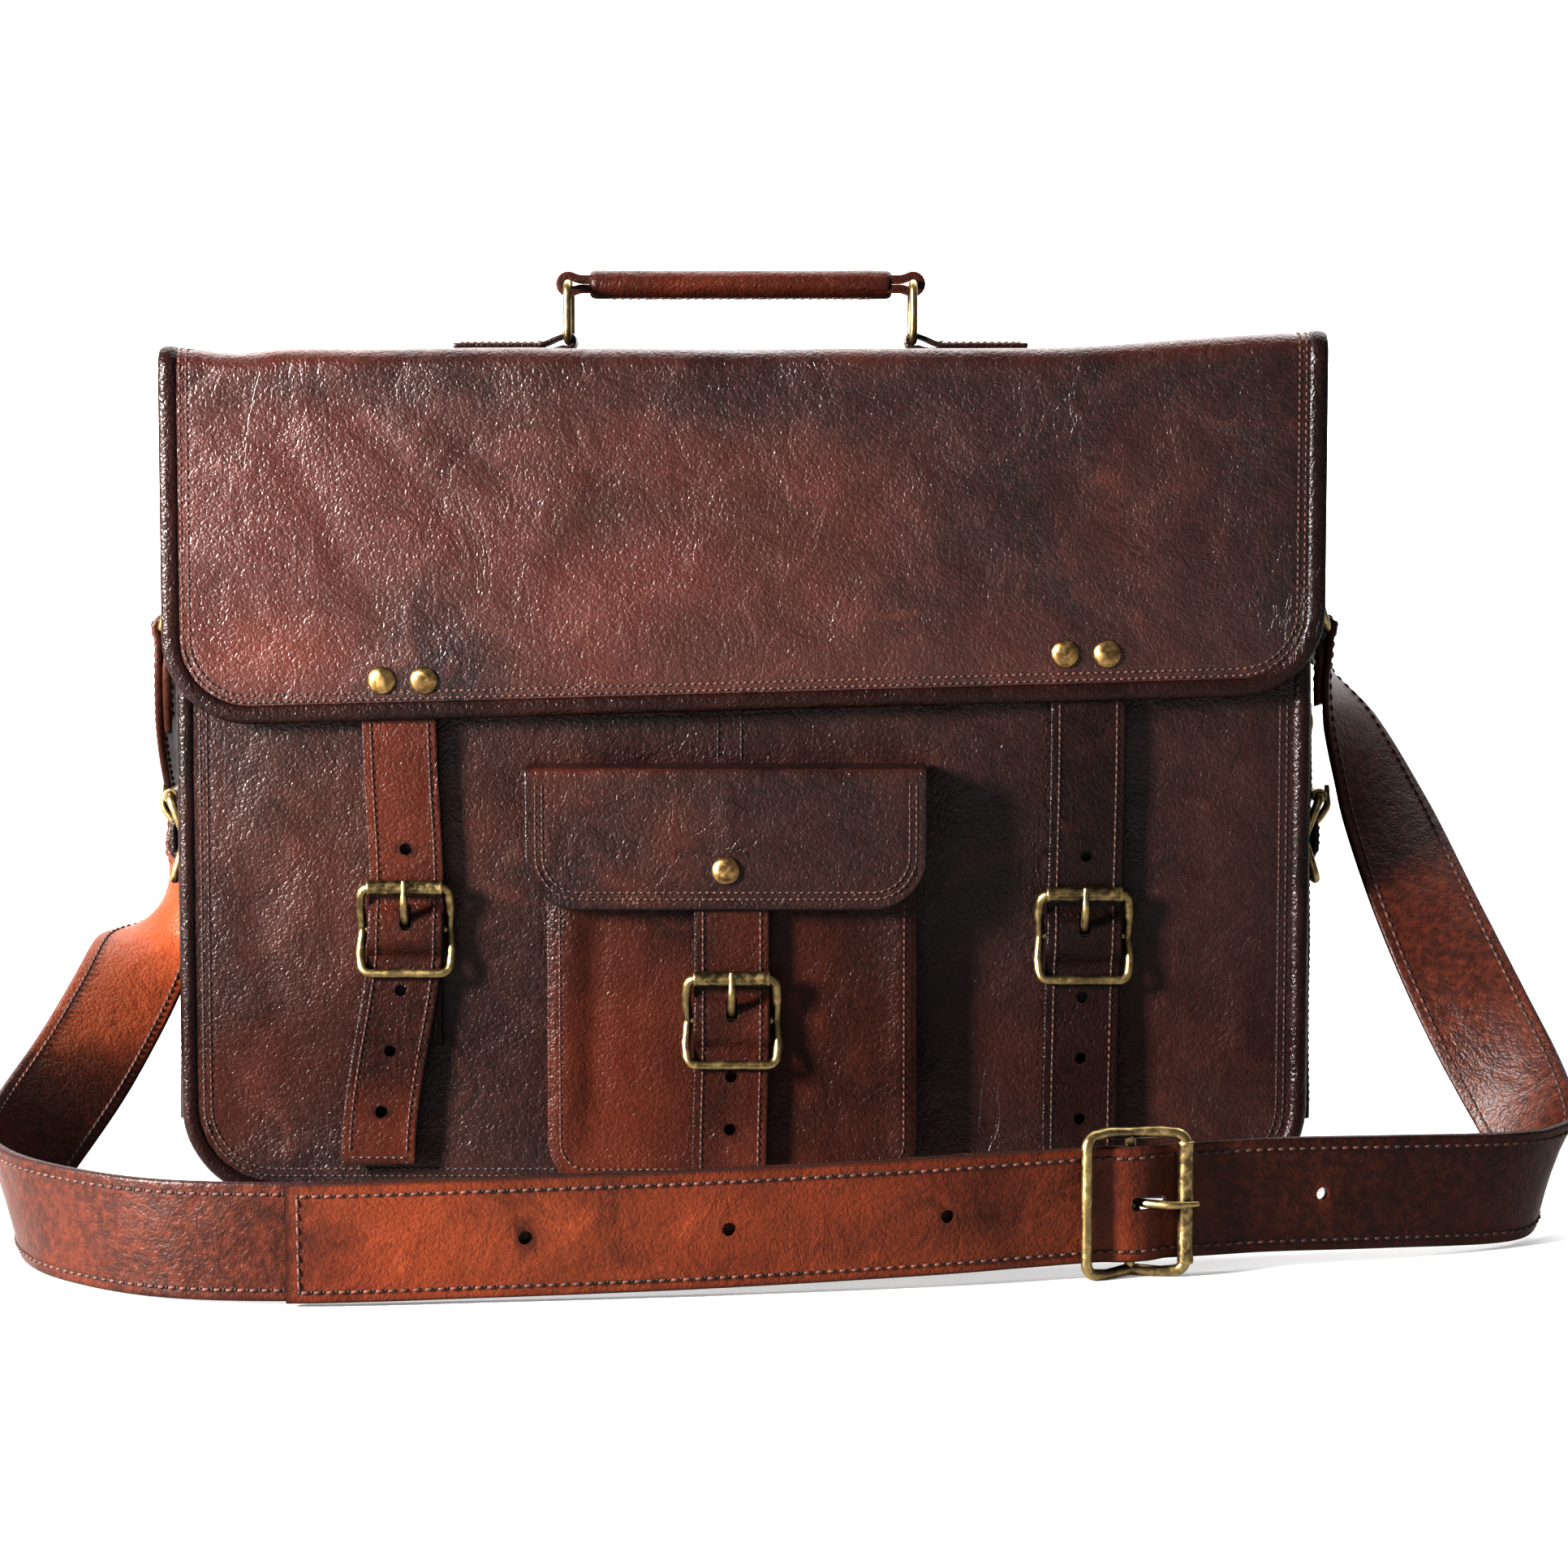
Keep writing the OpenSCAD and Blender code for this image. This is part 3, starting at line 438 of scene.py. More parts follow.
def catmull(p0, p1, p2, p3, u):
    """Point at u, 0 to 1, of the smooth curve from p1 to p2."""
    return 0.5 * ((2 * p1) + (-p0 + p2) * u + (2 * p0 - 5 * p1 + 4 * p2 - p3) * u * u
                  + (-p0 + 3 * p1 - 3 * p2 + p3) * u ** 3)


def resample(pts, step):
    pts = np.asarray(pts, float)
    seg = np.linalg.norm(np.diff(pts, axis=0), axis=1)
    L = np.concatenate([[0], np.cumsum(seg)])
    n = max(2, int(round(L[-1] / step)) + 1)
    t = np.linspace(0, L[-1], n)
    return np.stack([np.interp(t, L, pts[:, k]) for k in range(pts.shape[1])], 1)


def stitches(name, pts, normals, pitch=2.65, r=0.42, fill=0.70, mat="thread", lift=0.12):
    """A run of thread stitches along surface points, with a near-black cone at each end, painted shade in the
    awl hole.
    """
    pts = np.asarray(pts, float)
    normals = np.broadcast_to(np.asarray(normals, float), pts.shape)
    seg = np.linalg.norm(np.diff(pts, axis=0), axis=1)
    L = np.concatenate([[0], np.cumsum(seg)])
    n = max(1, int(L[-1] / pitch))
    pitch = L[-1] / n

    def at(t):
        p = np.array([np.interp(t, L, pts[:, k]) for k in range(3)])
        q = np.array([np.interp(t, L, normals[:, k]) for k in range(3)])
        return p, q / np.linalg.norm(q)

    verts, faces, hv, hf = [], [], [], []
    prof = [(-1.0, 0.0, -0.9), (-0.92, 0.6, -0.35), (-0.55, 1.0, 0.25), (0.0, 1.05, 0.5),
            (0.55, 1.0, 0.25), (0.92, 0.6, -0.35), (1.0, 0.0, -0.9)]
    sides = 6
    for k in range(n):
        c = (k + 0.5) * pitch
        half = pitch * fill / 2
        p, q = at(c)
        a, _ = at(c - half)
        b, _ = at(c + half)
        tan = b - a
        tan /= max(np.linalg.norm(tan), 1e-9)
        side = np.cross(q, tan)
        side /= max(np.linalg.norm(side), 1e-9)
        # slanted like hand stitching
        tan = tan + side * 0.10
        base = len(verts)
        for i, (u, w, h) in enumerate(prof):
            cc = p + tan * u * half + q * (h * r * 0.8 + lift)
            if w == 0:
                verts.append(cc)
            else:
                for m in range(sides):
                    ang = 2 * math.pi * m / sides
                    verts.append(cc + side * math.cos(ang) * r * w + q * math.sin(ang) * r * w * 0.8)
        for m in range(sides):
            m2 = (m + 1) % sides
            faces.append((base, base + 1 + m2, base + 1 + m))
            for i in range(4):
                s0 = base + 1 + i * sides
                faces.append((s0 + m, s0 + m2, s0 + sides + m2, s0 + sides + m))
            s0 = base + 1 + 4 * sides
            faces.append((s0 + m, s0 + m2, base + 1 + 5 * sides))
    # near-black cone at each awl hole: painted shade of the hole
    for k in range(n + 1):
        p, q = at(min(k * pitch, L[-1]))
        a, _ = at(max(k * pitch - 0.3, 0))
        b, _ = at(min(k * pitch + 0.3, L[-1]))
        tan = b - a
        tan /= max(np.linalg.norm(tan), 1e-9)
        side = np.cross(q, tan)
        base = len(hv)
        rr = r * 1.05
        for m in range(8):
            ang = 2 * math.pi * m / 8
            hv.append(p + tan * math.cos(ang) * rr + side * math.sin(ang) * rr * 1.1 + q * 0.03)
        hv.append(p + q * 0.07)
        hv.append(p - q * 0.4)
        for m in range(8):
            hf.append((base + m, base + (m + 1) % 8, base + 8))
            hf.append((base + (m + 1) % 8, base + m, base + 9))
    return [new_object(name, verts, faces, mat), new_object(name + "_hole_shade", hv, hf, "hole")]


def strip_mesh(name, path, wide, w, t, mat, tone=None, rim_w=1.2, out=None):
    """A leather strip along path (mm), width along wide, with rounded burnished edges.
    out: unit vectors of its outer face."""
    path = np.asarray(path, float)
    n = len(path)
    tan = tangents(path)
    W = np.broadcast_to(np.asarray(wide, float), (n, 3))
    W = W - tan * np.sum(W * tan, 1, keepdims=True)
    W /= np.linalg.norm(W, axis=1, keepdims=True)
    N = np.cross(tan, W)
    if out is not None:
        sgn = np.sign(np.sum(N * np.broadcast_to(np.asarray(out, float), (n, 3)), 1))
        N = N * np.where(sgn == 0, 1, sgn)[:, None]
    u = np.array([-1, -0.985, -0.955, -0.91, -0.82, -0.66, -0.4, 0, 0.4, 0.66, 0.82, 0.91, 0.955, 0.985, 1])
    prof = np.array([-0.5, -0.14, 0.02, 0.05, 0.0, 0.0, 0.03, 0.04, 0.03, 0.0, 0.0, 0.05, 0.02, -0.14, -0.5])
    L = np.concatenate([[0], np.cumsum(np.linalg.norm(np.diff(path, axis=0), axis=1))])
    P = path[:, None, :] + W[:, None, :] * (u * w / 2)[None, :, None]
    lift = prof[None, :] * np.ones((n, 1)) * min(1.0, t / 2.2)
    lift = lift + 0.12 * vnoise(L[:, None] * 0.06, u[None, :] * 1.3, 0.0, 5)
    P = P + N[:, None, :] * (t / 2 + lift)[..., None]
    T = t + lift * 2
    rim = np.clip((np.abs(u) * w / 2 - (w / 2 - rim_w)) / rim_w, 0, 1)[None, :] * np.ones((n, 1))
    end = np.clip(1 - np.minimum(L, L[-1] - L) / rim_w, 0, 1)[:, None]
    rim = np.maximum(rim, end)
    to = np.zeros((n, 15)) if tone is None else tone(L[:, None] * np.ones((1, 15)),
                                                     np.broadcast_to(u[None, :] * w / 2, (n, 15)), P)
    ob = slab(name, P, np.broadcast_to(N[:, None, :], P.shape), T, mat, tone=to, rim=rim, round_edge=0.25)
    return ob, L, N, W


def punch(ob, cutters, depth):
    """Cuts holes: (centre, outward, radius) or (centre, outward, radius, along, length) for a slot."""
    bm = bmesh.new()
    for cutter in cutters:
        c, n, r = (np.asarray(cutter[0], float), np.asarray(cutter[1], float), cutter[2])
        n = n / np.linalg.norm(n)
        along = np.asarray(cutter[3] if len(cutter) > 3 else (0.0, 0.0, 1.0), float)
        half = (cutter[4] / 2 if len(cutter) > 3 else 0.0)
        along = along - n * (along @ n)
        along /= np.linalg.norm(along)
        side = np.cross(n, along)
        rows = []
        for e in (-1, 1):
            row = []
            for k in range(24):
                a = 2 * math.pi * (k + 0.5) / 24
                q = c + n * e * depth / 2 + side * r * math.sin(a) + along * (r * math.cos(a)
                                                                              + (half if math.cos(a) > 0 else
                                                                                 -half))
                row.append(bm.verts.new(Vector(q) * MM))
            rows.append(row)
        bm.faces.new(rows[0])
        bm.faces.new(rows[1][::-1])
        for k in range(24):
            k2 = (k + 1) % 24
            bm.faces.new((rows[0][k], rows[0][k2], rows[1][k2], rows[1][k]))
    bmesh.ops.recalc_face_normals(bm, faces=bm.faces)
    me = bpy.data.meshes.new("cut")
    bm.to_mesh(me)
    bm.free()
    cut_with(ob, me)


def cut_with(ob, me):
    cut = bpy.data.objects.new("cut", me)
    scene.collection.objects.link(cut)
    mod = ob.modifiers.new("cut", "BOOLEAN")
    mod.operation = "DIFFERENCE"
    mod.solver = "EXACT"
    mod.object = cut
    dg = bpy.context.evaluated_depsgraph_get()
    got = bpy.data.meshes.new_from_object(ob.evaluated_get(dg), preserve_all_data_layers=True, depsgraph=dg)
    if len(got.vertices) < len(ob.data.vertices) * 0.6:
        raise SystemExit("a cut emptied " + ob.name)
    ob.modifiers.clear()
    old = ob.data
    ob.data = got
    bpy.data.meshes.remove(old)
    bpy.data.objects.remove(cut)
    me = ob.data
    co = np.empty(len(me.vertices) * 3, np.float32)
    me.vertices.foreach_get("co", co)
    me.attributes["rest"].data.foreach_set("vector", co / MM)
    # hard rims, so the flat face round a hole keeps its own shading
    bm = bmesh.new()
    bm.from_mesh(me)
    for e in bm.edges:
        if len(e.link_faces) == 2 and e.calc_face_angle(0.0) > 1.0:
            e.smooth = False
    bm.to_mesh(me)
    bm.free()


def tube(name, pts, r, mat, closed=False, sides=16):
    """Round wire or roll along points, with parallel-transported frames."""
    pts = np.asarray(pts, float)
    n = len(pts)
    if closed:
        tan = np.roll(pts, -1, 0) - np.roll(pts, 1, 0)
    else:
        tan = np.gradient(pts, axis=0)
    tan /= np.linalg.norm(tan, axis=1, keepdims=True)
    ref = np.array([0.0, 0.0, 1.0])
    if abs(tan[0] @ ref) > 0.9:
        ref = np.array([0.0, 1.0, 0.0])
    A = np.zeros((n, 3))
    a = ref - tan[0] * (ref @ tan[0])
    A[0] = a / np.linalg.norm(a)
    for i in range(1, n):
        a = A[i - 1] - tan[i] * (A[i - 1] @ tan[i])
        A[i] = a / np.linalg.norm(a)
    if closed:
        # spread the closing twist
        last = A[-1] - tan[0] * (A[-1] @ tan[0])
        last /= np.linalg.norm(last)
        ang = math.atan2(np.cross(last, A[0]) @ tan[0], last @ A[0])
        for i in range(n):
            q = ang * i / n
            B = np.cross(tan[i], A[i])
            A[i] = A[i] * math.cos(q) + B * math.sin(q)
    B = np.cross(tan, A)
    R = np.broadcast_to(np.asarray(r, float), (n,))
    ang = np.arange(sides) * 2 * math.pi / sides
    V = pts[:, None, :] + (A[:, None, :] * np.cos(ang)[None, :, None] + B[:, None, :]
                           * np.sin(ang)[None, :, None]) * R[:, None, None]
    verts = list(V.reshape(-1, 3))
    faces = grid_faces(n, sides, wrap=True)
    if closed:
        s0 = (n - 1) * sides
        for j in range(sides):
            j2 = (j + 1) % sides
            faces.append((s0 + j, s0 + j2, j2, j))
    else:
        verts.append(pts[0] - tan[0] * R[0] * 0.35)
        verts.append(pts[-1] + tan[-1] * R[-1] * 0.35)
        m = n * sides
        for j in range(sides):
            j2 = (j + 1) % sides
            faces.append((m, j2, j))
            s0 = (n - 1) * sides
            faces.append((m + 1, s0 + j, s0 + j2))
    ob = new_object(name, verts, faces, mat)
    return fix_normals(ob)


def rounded(pts, radius, steps):
    """Closed polyline with its corners rounded."""
    pts = [np.asarray(p, float) for p in pts]
    n = len(pts)
    out = []
    for i in range(n):
        a, b, c = pts[(i - 1) % n], pts[i], pts[(i + 1) % n]
        u, v = a - b, c - b
        lu, lv = np.linalg.norm(u), np.linalg.norm(v)
        u, v = u / lu, v / lv
        cosang = np.clip(u @ v, -1, 1)
        half = math.acos(cosang) / 2
        if half > math.pi / 2 - 0.02:
            out.append(b)
            continue
        d = min(radius / math.tan(half), lu * 0.49, lv * 0.49)
        rr = d * math.tan(half)
        bis = (u + v) / np.linalg.norm(u + v)
        cen = b + bis * rr / math.sin(half)
        s, e = b + u * d - cen, b + v * d - cen
        tot = math.acos(np.clip(s @ e / (np.linalg.norm(s) * np.linalg.norm(e)), -1, 1))
        for k in range(steps + 1):
            t = k / steps
            out.append(cen + (s * math.sin((1 - t) * tot) + e * math.sin(t * tot)) / math.sin(tot))
    return np.array(out)


def wire_loop(pts, corner, steps, step):
    """Closed loop of evenly spaced points through pts, with rounded corners."""
    ring = rounded(pts, corner, steps)
    return resample(np.concatenate([ring, ring[:1]]), step)[:-1]


def lathe(name, profile, origin, axis, mat, sides=28):
    """Turned solid: profile of (radius, along axis) from one pole to the other."""
    axis = np.asarray(axis, float)
    axis /= np.linalg.norm(axis)
    ref = np.array([0, 0, 1.0]) if abs(axis[2]) < 0.9 else np.array([1.0, 0, 0])
    a = np.cross(axis, ref)
    a /= np.linalg.norm(a)
    b = np.cross(axis, a)
    o = np.asarray(origin, float)
    verts = [o + axis * profile[0][1]]
    for r, h in profile[1:-1]:
        for k in range(sides):
            q = 2 * math.pi * k / sides
            verts.append(o + axis * h + (a * math.cos(q) + b * math.sin(q)) * r)
    verts.append(o + axis * profile[-1][1])
    faces = []
    for k in range(sides):
        k2 = (k + 1) % sides
        faces.append((0, 1 + k2, 1 + k))
        for i in range(len(profile) - 3):
            s = 1 + i * sides
            faces.append((s + k, s + k2, s + sides + k2, s + sides + k))
        s = 1 + (len(profile) - 3) * sides
        faces.append((s + k, s + k2, len(verts) - 1))
    return fix_normals(new_object(name, verts, faces, mat))


# ------------------------------------------------------------------ shared placing
class Place:
    """Local frame of a buckle: across, outward, towards the roller."""

    def __init__(self, origin, ex, eo, ez):
        self.o, self.ex, self.eo, self.ez = (np.array(v, float) for v in (origin, ex, eo, ez))

    def pt(self, lx, out, lz):
        lx, out, lz = np.broadcast_arrays(np.asarray(lx, float), np.asarray(out, float),
                                          np.asarray(lz, float))
        return self.o + lx[..., None] * self.ex + out[..., None] * self.eo + lz[..., None] * self.ez


ANG = math.radians(15.42)
SPOTS = {
    "left": Place((-121, -61.9, 99), (1, 0, 0), (0, -1, 0), (0, 0, 1)),
    "right": Place((122, -61.9, 96.5), (1, 0, 0), (0, -1, 0), (0, 0, 1)),
    "pocket": Place((-4, -75.9, 68), (1, 0, 0), (0, -1, 0), (0, 0, 1)),
    "side_left": Place((-206.9, 0, 127), (0, -1, 0), (-1, 0, 0), (0, 0, 1)),
    "side_right": Place((206.9, 0, 127), (0, 1, 0), (1, 0, 0), (0, 0, 1)),
}
SLING_SPOT = Place((128, -190, 24.8), (0, 0, -1), (math.sin(ANG), -math.cos(ANG), 0),
                   (math.cos(ANG), math.sin(ANG), 0))


def attach(ob, spec, nodes=()):
    if len(spec) == 1:
        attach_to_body(ob, spec[0])
    else:
        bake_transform(ob)
    if nodes:
        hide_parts(*nodes)
    return ob


def edge_row(f, uv, inset, normal_of, lift=0.04):
    """3-D points and normals along an inset copy of a 2-D path uv on the surface f."""
    uv = np.asarray(uv, float)
    t = tangents(uv)
    n = np.stack([-t[:, 1], t[:, 0]], 1)
    q = uv + n * inset
    P = f(q[:, 0], q[:, 1])
    N = normal_of(q[:, 0], q[:, 1])
    return P + N * lift, N


def edge_seams(name, f, normal_of, uv, insets, pitch, r, mat):
    """Rows of stitches on the surface f, along inset copies of the path uv."""
    out = []
    for inset in insets:
        p, n = edge_row(f, uv, inset, normal_of)
        out += stitches(name, p, n, pitch=pitch, r=r, mat=mat)
    return out


def sweep(name, P, Q, N, prof, mat):
    """Closed section prof (inward, outward) swept along surface points, capped at both ends."""
    P, Q, N = (np.asarray(a, float) for a in (P, Q, N))
    n, m = len(P), len(prof)
    prof = np.asarray(prof, float)
    V = P[:, None, :] + Q[:, None, :] * prof[None, :, 0, None] + N[:, None, :] * prof[None, :, 1, None]
    verts = list(V.reshape(-1, 3))
    faces = grid_faces(n, m, wrap=True)
    for end, i in ((0, 0), (1, n - 1)):
        c = len(verts)
        verts.append(V[i].mean(0))
        for j in range(m):
            a, b = i * m + j, i * m + (j + 1) % m
            faces.append((c, a, b) if end else (c, b, a))
    return fix_normals(new_object(name, verts, faces, mat))


def roll_profile(width, over, under, k=18):
    """Flattened roll: from the outer edge 0 to width inward, rising over and falling under."""
    out = []
    for i in range(k):
        a = 2 * math.pi * i / k
        x = width / 2 * (1 - math.cos(a))
        s = math.sin(a)
        y = (over if s > 0 else under) * abs(s) ** 0.75 * (1 if s > 0 else -1)
        out.append((x, y))
    return out


def u_path(x0, x1, top, low0, low1, r, step=2.5):
    """Open outline: down the left side, along the bottom, up the right side.
    Inward is to the left of travel."""
    slope = (low1 - low0) / (x1 - x0)
    pts = [(x0, top)]
    cl = low0 + slope * r + r
    cr = low1 - slope * r + r
    for k in range(0, 13):
        a = math.pi * (1 + 0.5 * k / 12)
        pts.append((x0 + r + r * math.cos(a), cl + r * math.sin(a)))
    for k in range(0, 13):
        a = math.pi * (1.5 + 0.5 * k / 12)
        pts.append((x1 - r + r * math.cos(a), cr + r * math.sin(a)))
    pts.append((x1, top))
    return resample(pts, step)


def outline_low(x, x0, x1, low0, low1, r):
    """Height of the lower edge of that outline at x."""
    x = np.asarray(x, float)
    base = low0 + (low1 - low0) * (x - x0) / (x1 - x0)
    dl = np.clip(x0 + r - x, 0, r)
    dr = np.clip(x - (x1 - r), 0, r)
    d = np.maximum(dl, dr)
    return base + r - np.sqrt(np.maximum(r * r - d * d, 0))


def columns(x0, x1, r, mid, near=(0, 0.7, 1.6, 2.8, 4.2, 5.6, 7.0, 8.4, 9.8, 11.2, 13.5)):
    """Column positions, dense near both sides and round the corners."""
    near = [d for d in near if d < r]
    corner = [d for d in np.arange(near[-1] + 2.6, r, 2.6)]
    left = near + corner + [r]
    inner = np.linspace(x0 + r, x1 - r, max(2, int((x1 - x0 - 2 * r) / mid)) + 1)[1:-1]
    return np.array([x0 + d for d in left] + list(inner) + [x1 - d for d in reversed(left)])


def sheet_uv(xs, top, low, mid, near=(17, 13.5, 11.2, 9.8, 8.4, 7.0, 5.6, 4.2, 2.8, 1.6, 0.7, 0)):
    """Rows from top down to the outline, dense near the outline: u[r, c], v[r, c]. Goes down in v."""
    low = np.asarray(low, float)
    span = top - low
    n = max(3, int((top - low.min()) / mid))
    rows = []
    for k in range(n + 1):
        rows.append(top - (span - near[0]) * k / n)
    for d in near[1:]:
        rows.append(low + d)
    v = np.array(rows)
    u = np.broadcast_to(xs[None, :], v.shape)
    return u, v


# ------------------------------------------------------------------ bag body
PANEL_X = 203.5          # half the width of a panel
SIDE_X = 203.6           # outer face of the gusset, where the side tabs lie
PATCH = [(-150, 110, 55, 0.5), (-60, 60, 40, 0.25), (150, 130, 40, 0.2), (70, 230, 60, 0.2),
         (-170, 40, 40, 0.35)]


def panel_y(x, z):
    """Outward relief of a panel, a sagging leather face."""
    d = 1.3 * fbm(x * 0.013, z * 0.013, 0.3, 11) + 0.40 * fbm(x * 0.045, z * 0.045, 1.0, 17)
    inside = smooth(4, 30, PANEL_X - np.abs(x)) * smooth(3, 30, z)
    soft = -0.9 * bump(z, 30, 22) + 0.7 * bump(z, 8, 9)
    fold = -0.8 * bump(x + 0.25 * z, -150, 9) * smooth(20, 60, z) * smooth(130, 90, z)
    fold2 = 0.7 * bump(x - 0.18 * z, 168, 7) * smooth(10, 40, z) * smooth(150, 110, z)
    return np.clip((d + soft + fold + fold2) * inside, -2.2, 1.2)


def front_f(x, z):
    x, z = np.broadcast_arrays(np.asarray(x, float), np.asarray(z, float))
    y = -58.5 - panel_y(x, z)
    edge = np.minimum(PANEL_X - np.abs(x), z)
    y = y + 0.25 * (bump(edge, 8.6, 0.8) + bump(edge, 11.1, 0.8)) - 0.25 * bump(edge, 9.85, 0.7)
    seam = smooth(158, 165, z)
    y = y - seam * (0.9 * bump(x, -5, 1.5) - 0.4 * bump(x, -8, 1.3) - 0.4 * bump(x, -2, 1.3))
    return np.stack([x, y, z], -1)


def back_f(x, z):
    x, z = np.broadcast_arrays(np.asarray(x, float), np.asarray(z, float))
    y = 58.5 + panel_y(-x + 40, z + 17)
    edge = np.minimum(PANEL_X - np.abs(x), z)
    y = y - 0.25 * (bump(edge, 8.6, 0.8) + bump(edge, 11.1, 0.8))
    return np.stack([x, y, z], -1)


def oriented(f, flip):
    def g(u, v):
        n = numeric_normals(f, np.asarray(u, float), np.asarray(v, float))
        return n * flip
    return g


front_n = oriented(front_f, 1.0)
back_n = oriented(back_f, -1.0)
BAG = ("bag",)


def tone_map(x, z, seed=0, level=0.0):
    t = 0.55 * fbm(x * 0.010 + 3, z * 0.010, seed * 1.7, 31, 2)
    return np.clip(t + level, -1, 1)


def band(name, path, across, dip, t, mat, tone=None):
    """Sheet as wide as across (y) along a path in x and z; dip(x, y, z) pushes it inward."""
    d = tangents(path)
    X, Y = np.broadcast_arrays(path[:, None, 0], across[None, :])
    Z = np.broadcast_to(path[:, None, 1], X.shape)
    ix, iz = (np.broadcast_to(a[:, None], X.shape) for a in (-d[:, 1], d[:, 0]))
    push = dip(X, Y, Z)
    P = np.stack([X + ix * push, Y, Z + iz * push], -1)
    N = np.stack([-ix, np.zeros_like(X), -iz], -1)
    return slab(name, P, N, t, mat, tone=None if tone is None else tone(X, Y, Z))


def make_panel(name, f, fn, sgn, nodes, seam):
    xs = columns(-200.6, 200.6, 31.0, 5.0)
    low = outline_low(xs, -200.6, 200.6, 2.9, 2.9, 31.0)
    u, v = sheet_uv(xs, 300.0, low, 5.0)
    P, N = f(u, v), fn(u, v)
    tone = tone_map(u, v, 2 if sgn < 0 else 5, -0.15)
    if sgn < 0:
        for px, pz, pr, pa in PATCH:
            tone = tone + pa * np.exp(-(((u - px) ** 2 + (v - pz) ** 2) / pr ** 2))
        # painted shade: darker under the flap, and at the lower right beside the right strap, where the light
        # falls off
        tone = tone - 0.5 * smooth(150, 180, v)
        tone = tone - 0.35 * smooth(60, 10, v) * smooth(40, 200, u)
    body = slab(name, P, N, 2.5, "front" if sgn < 0 else "brown", tone=np.clip(tone, -1, 1))
    path = u_path(-PANEL_X, PANEL_X, 296.0, 0.0, 0.0, 34.0)
    bits = [body]
    bits += edge_seams(name + "_st", f, fn, path, (8.6, 11.1), 2.7, 0.40, "thread_dark")
    if seam:
        for dx in (-4.2, 4.2):
            line = resample([(-5 + dx, 160.0), (-5 + dx, 290.0)], 3.0)
            bits += edge_seams(name + "_sm", f, fn, line, (0,), 2.7, 0.38, "thread_dark")
    ob = join(bits, name)
    attach(ob, BAG, nodes)


make_panel("front_panel_leather", front_f, front_n, -1, ("front_panel",), True)
make_panel("back_panel_leather", back_f, back_n, 1, ("back_panel",), False)

for nm, sgn in (("front", -1), ("back", 1)):
    path = u_path(-200.0, 200.0, 301.0, 3.5, 3.5, 30.5, 3.0)
    pts = np.stack([path[:, 0], np.full(len(path), 56.5 * sgn), path[:, 1]], 1)
    wob = fbm(path[:, 0] * 0.03, path[:, 1] * 0.03, sgn, 3)
    r = 3.45 + 0.12 * wob
    pts[:, 1] += 0.25 * vnoise(path[:, 0] * 0.02, path[:, 1] * 0.02, sgn * 3, 8)
    roll = tube(nm + "_roll", pts, r, "dark", sides=20)
    attach(roll, BAG, (nm + "_edge_roll",))

# gusset: one band down a side, under the bottom and up the other side
gpath = u_path(-PANEL_X, PANEL_X, 298.0, 0.0, 0.0, 34.0, 4.0)
gy = np.concatenate([np.linspace(-53.6, -46, 7), np.linspace(-42, 42, 22), np.linspace(46, 53.6, 7)])


def gusset_dip(x, y, z):
    """Hollows of the sides, soft waves and the pull of the seams."""
    side = smooth(60, 120, z) * smooth(150, 200, np.abs(x))
    dip = (1.6 * bump(y, -31, 9) + 1.6 * bump(y, 31, 9)) * side * (0.6 + 0.4 * vnoise(z * 0.02, y * 0.05, 0,
                                                                                      4))
    dip = dip + 0.5 * (1 + vnoise(x * 0.02, y * 0.03, z * 0.02,
                                  9)) * smooth(53, 40, np.abs(y)) * smooth(4, 60, z)
    return dip + 0.3 * (bump(np.abs(y), 49.4, 0.9)) * smooth(2, 8, z)


gus = band("gusset_leather", gpath, gy, gusset_dip, 2.4, "brown", lambda x, y,
           z: tone_map(x + y * 2, z, 9, -0.35))
bits = [gus]
for yy in (-49.4, 49.4):
    for part in (gpath[: len(gpath) // 2], gpath[len(gpath) // 2:]):
        q = part[part[:, 1] > 8]
        k = tangents(q)
        nn = np.stack([k[:, 1], np.zeros(len(q)), -k[:, 0]], 1)
        pp = np.stack([q[:, 0], np.full(len(q), yy), q[:, 1]], 1) + nn * (-0.28)
        bits += stitches("gs", pp, nn, pitch=2.7, r=0.40, mat="thread_dark")
gus = join(bits, "gusset_leather")
attach(gus, BAG, ("gusset",))

# mouth bindings along the tops of the panels
bits = []
for sgn in (-1, 1):
    xs = np.linspace(-196.5, 196.5, 60)
    P = np.stack([xs, np.full(60, 57.25 * sgn) + 0.15 * vnoise(xs * 0.03, 0, sgn, 2), np.full(60, 303.0)], 1)
    Q = np.broadcast_to(np.array([0, 0, -1.0]), P.shape)
    N = np.broadcast_to(np.array([0, -1.0, 0]), P.shape)
    bits.append(sweep("mb", P, Q, N, roll_profile(11.5, 2.2, 2.2), "dark"))
attach(join(bits, "mouth_binding_leather"), BAG, ("mouth_binding",))

# lining and divider
def inner_sheet(name, y, z0, mat, flip, amp=0.8, t=0.8, top=299.0):
    xs = columns(-197.0, 197.0, 28.0, 9.0, near=(0, 2, 5, 9, 14))
    low = outline_low(xs, -197.0, 197.0, z0, z0, 28.0)
    u, v = sheet_uv(xs, top, low, 9.0, near=(14, 9, 5, 2, 0))
    yy = y + amp * fbm(u * 0.02, v * 0.02, y * 0.1, 21) * smooth(0, 20, 197 - np.abs(u))
    P = np.stack([u, yy, v], -1)
    N = np.zeros_like(P)
    N[..., 1] = flip
    return slab(name, P, N, t, mat)


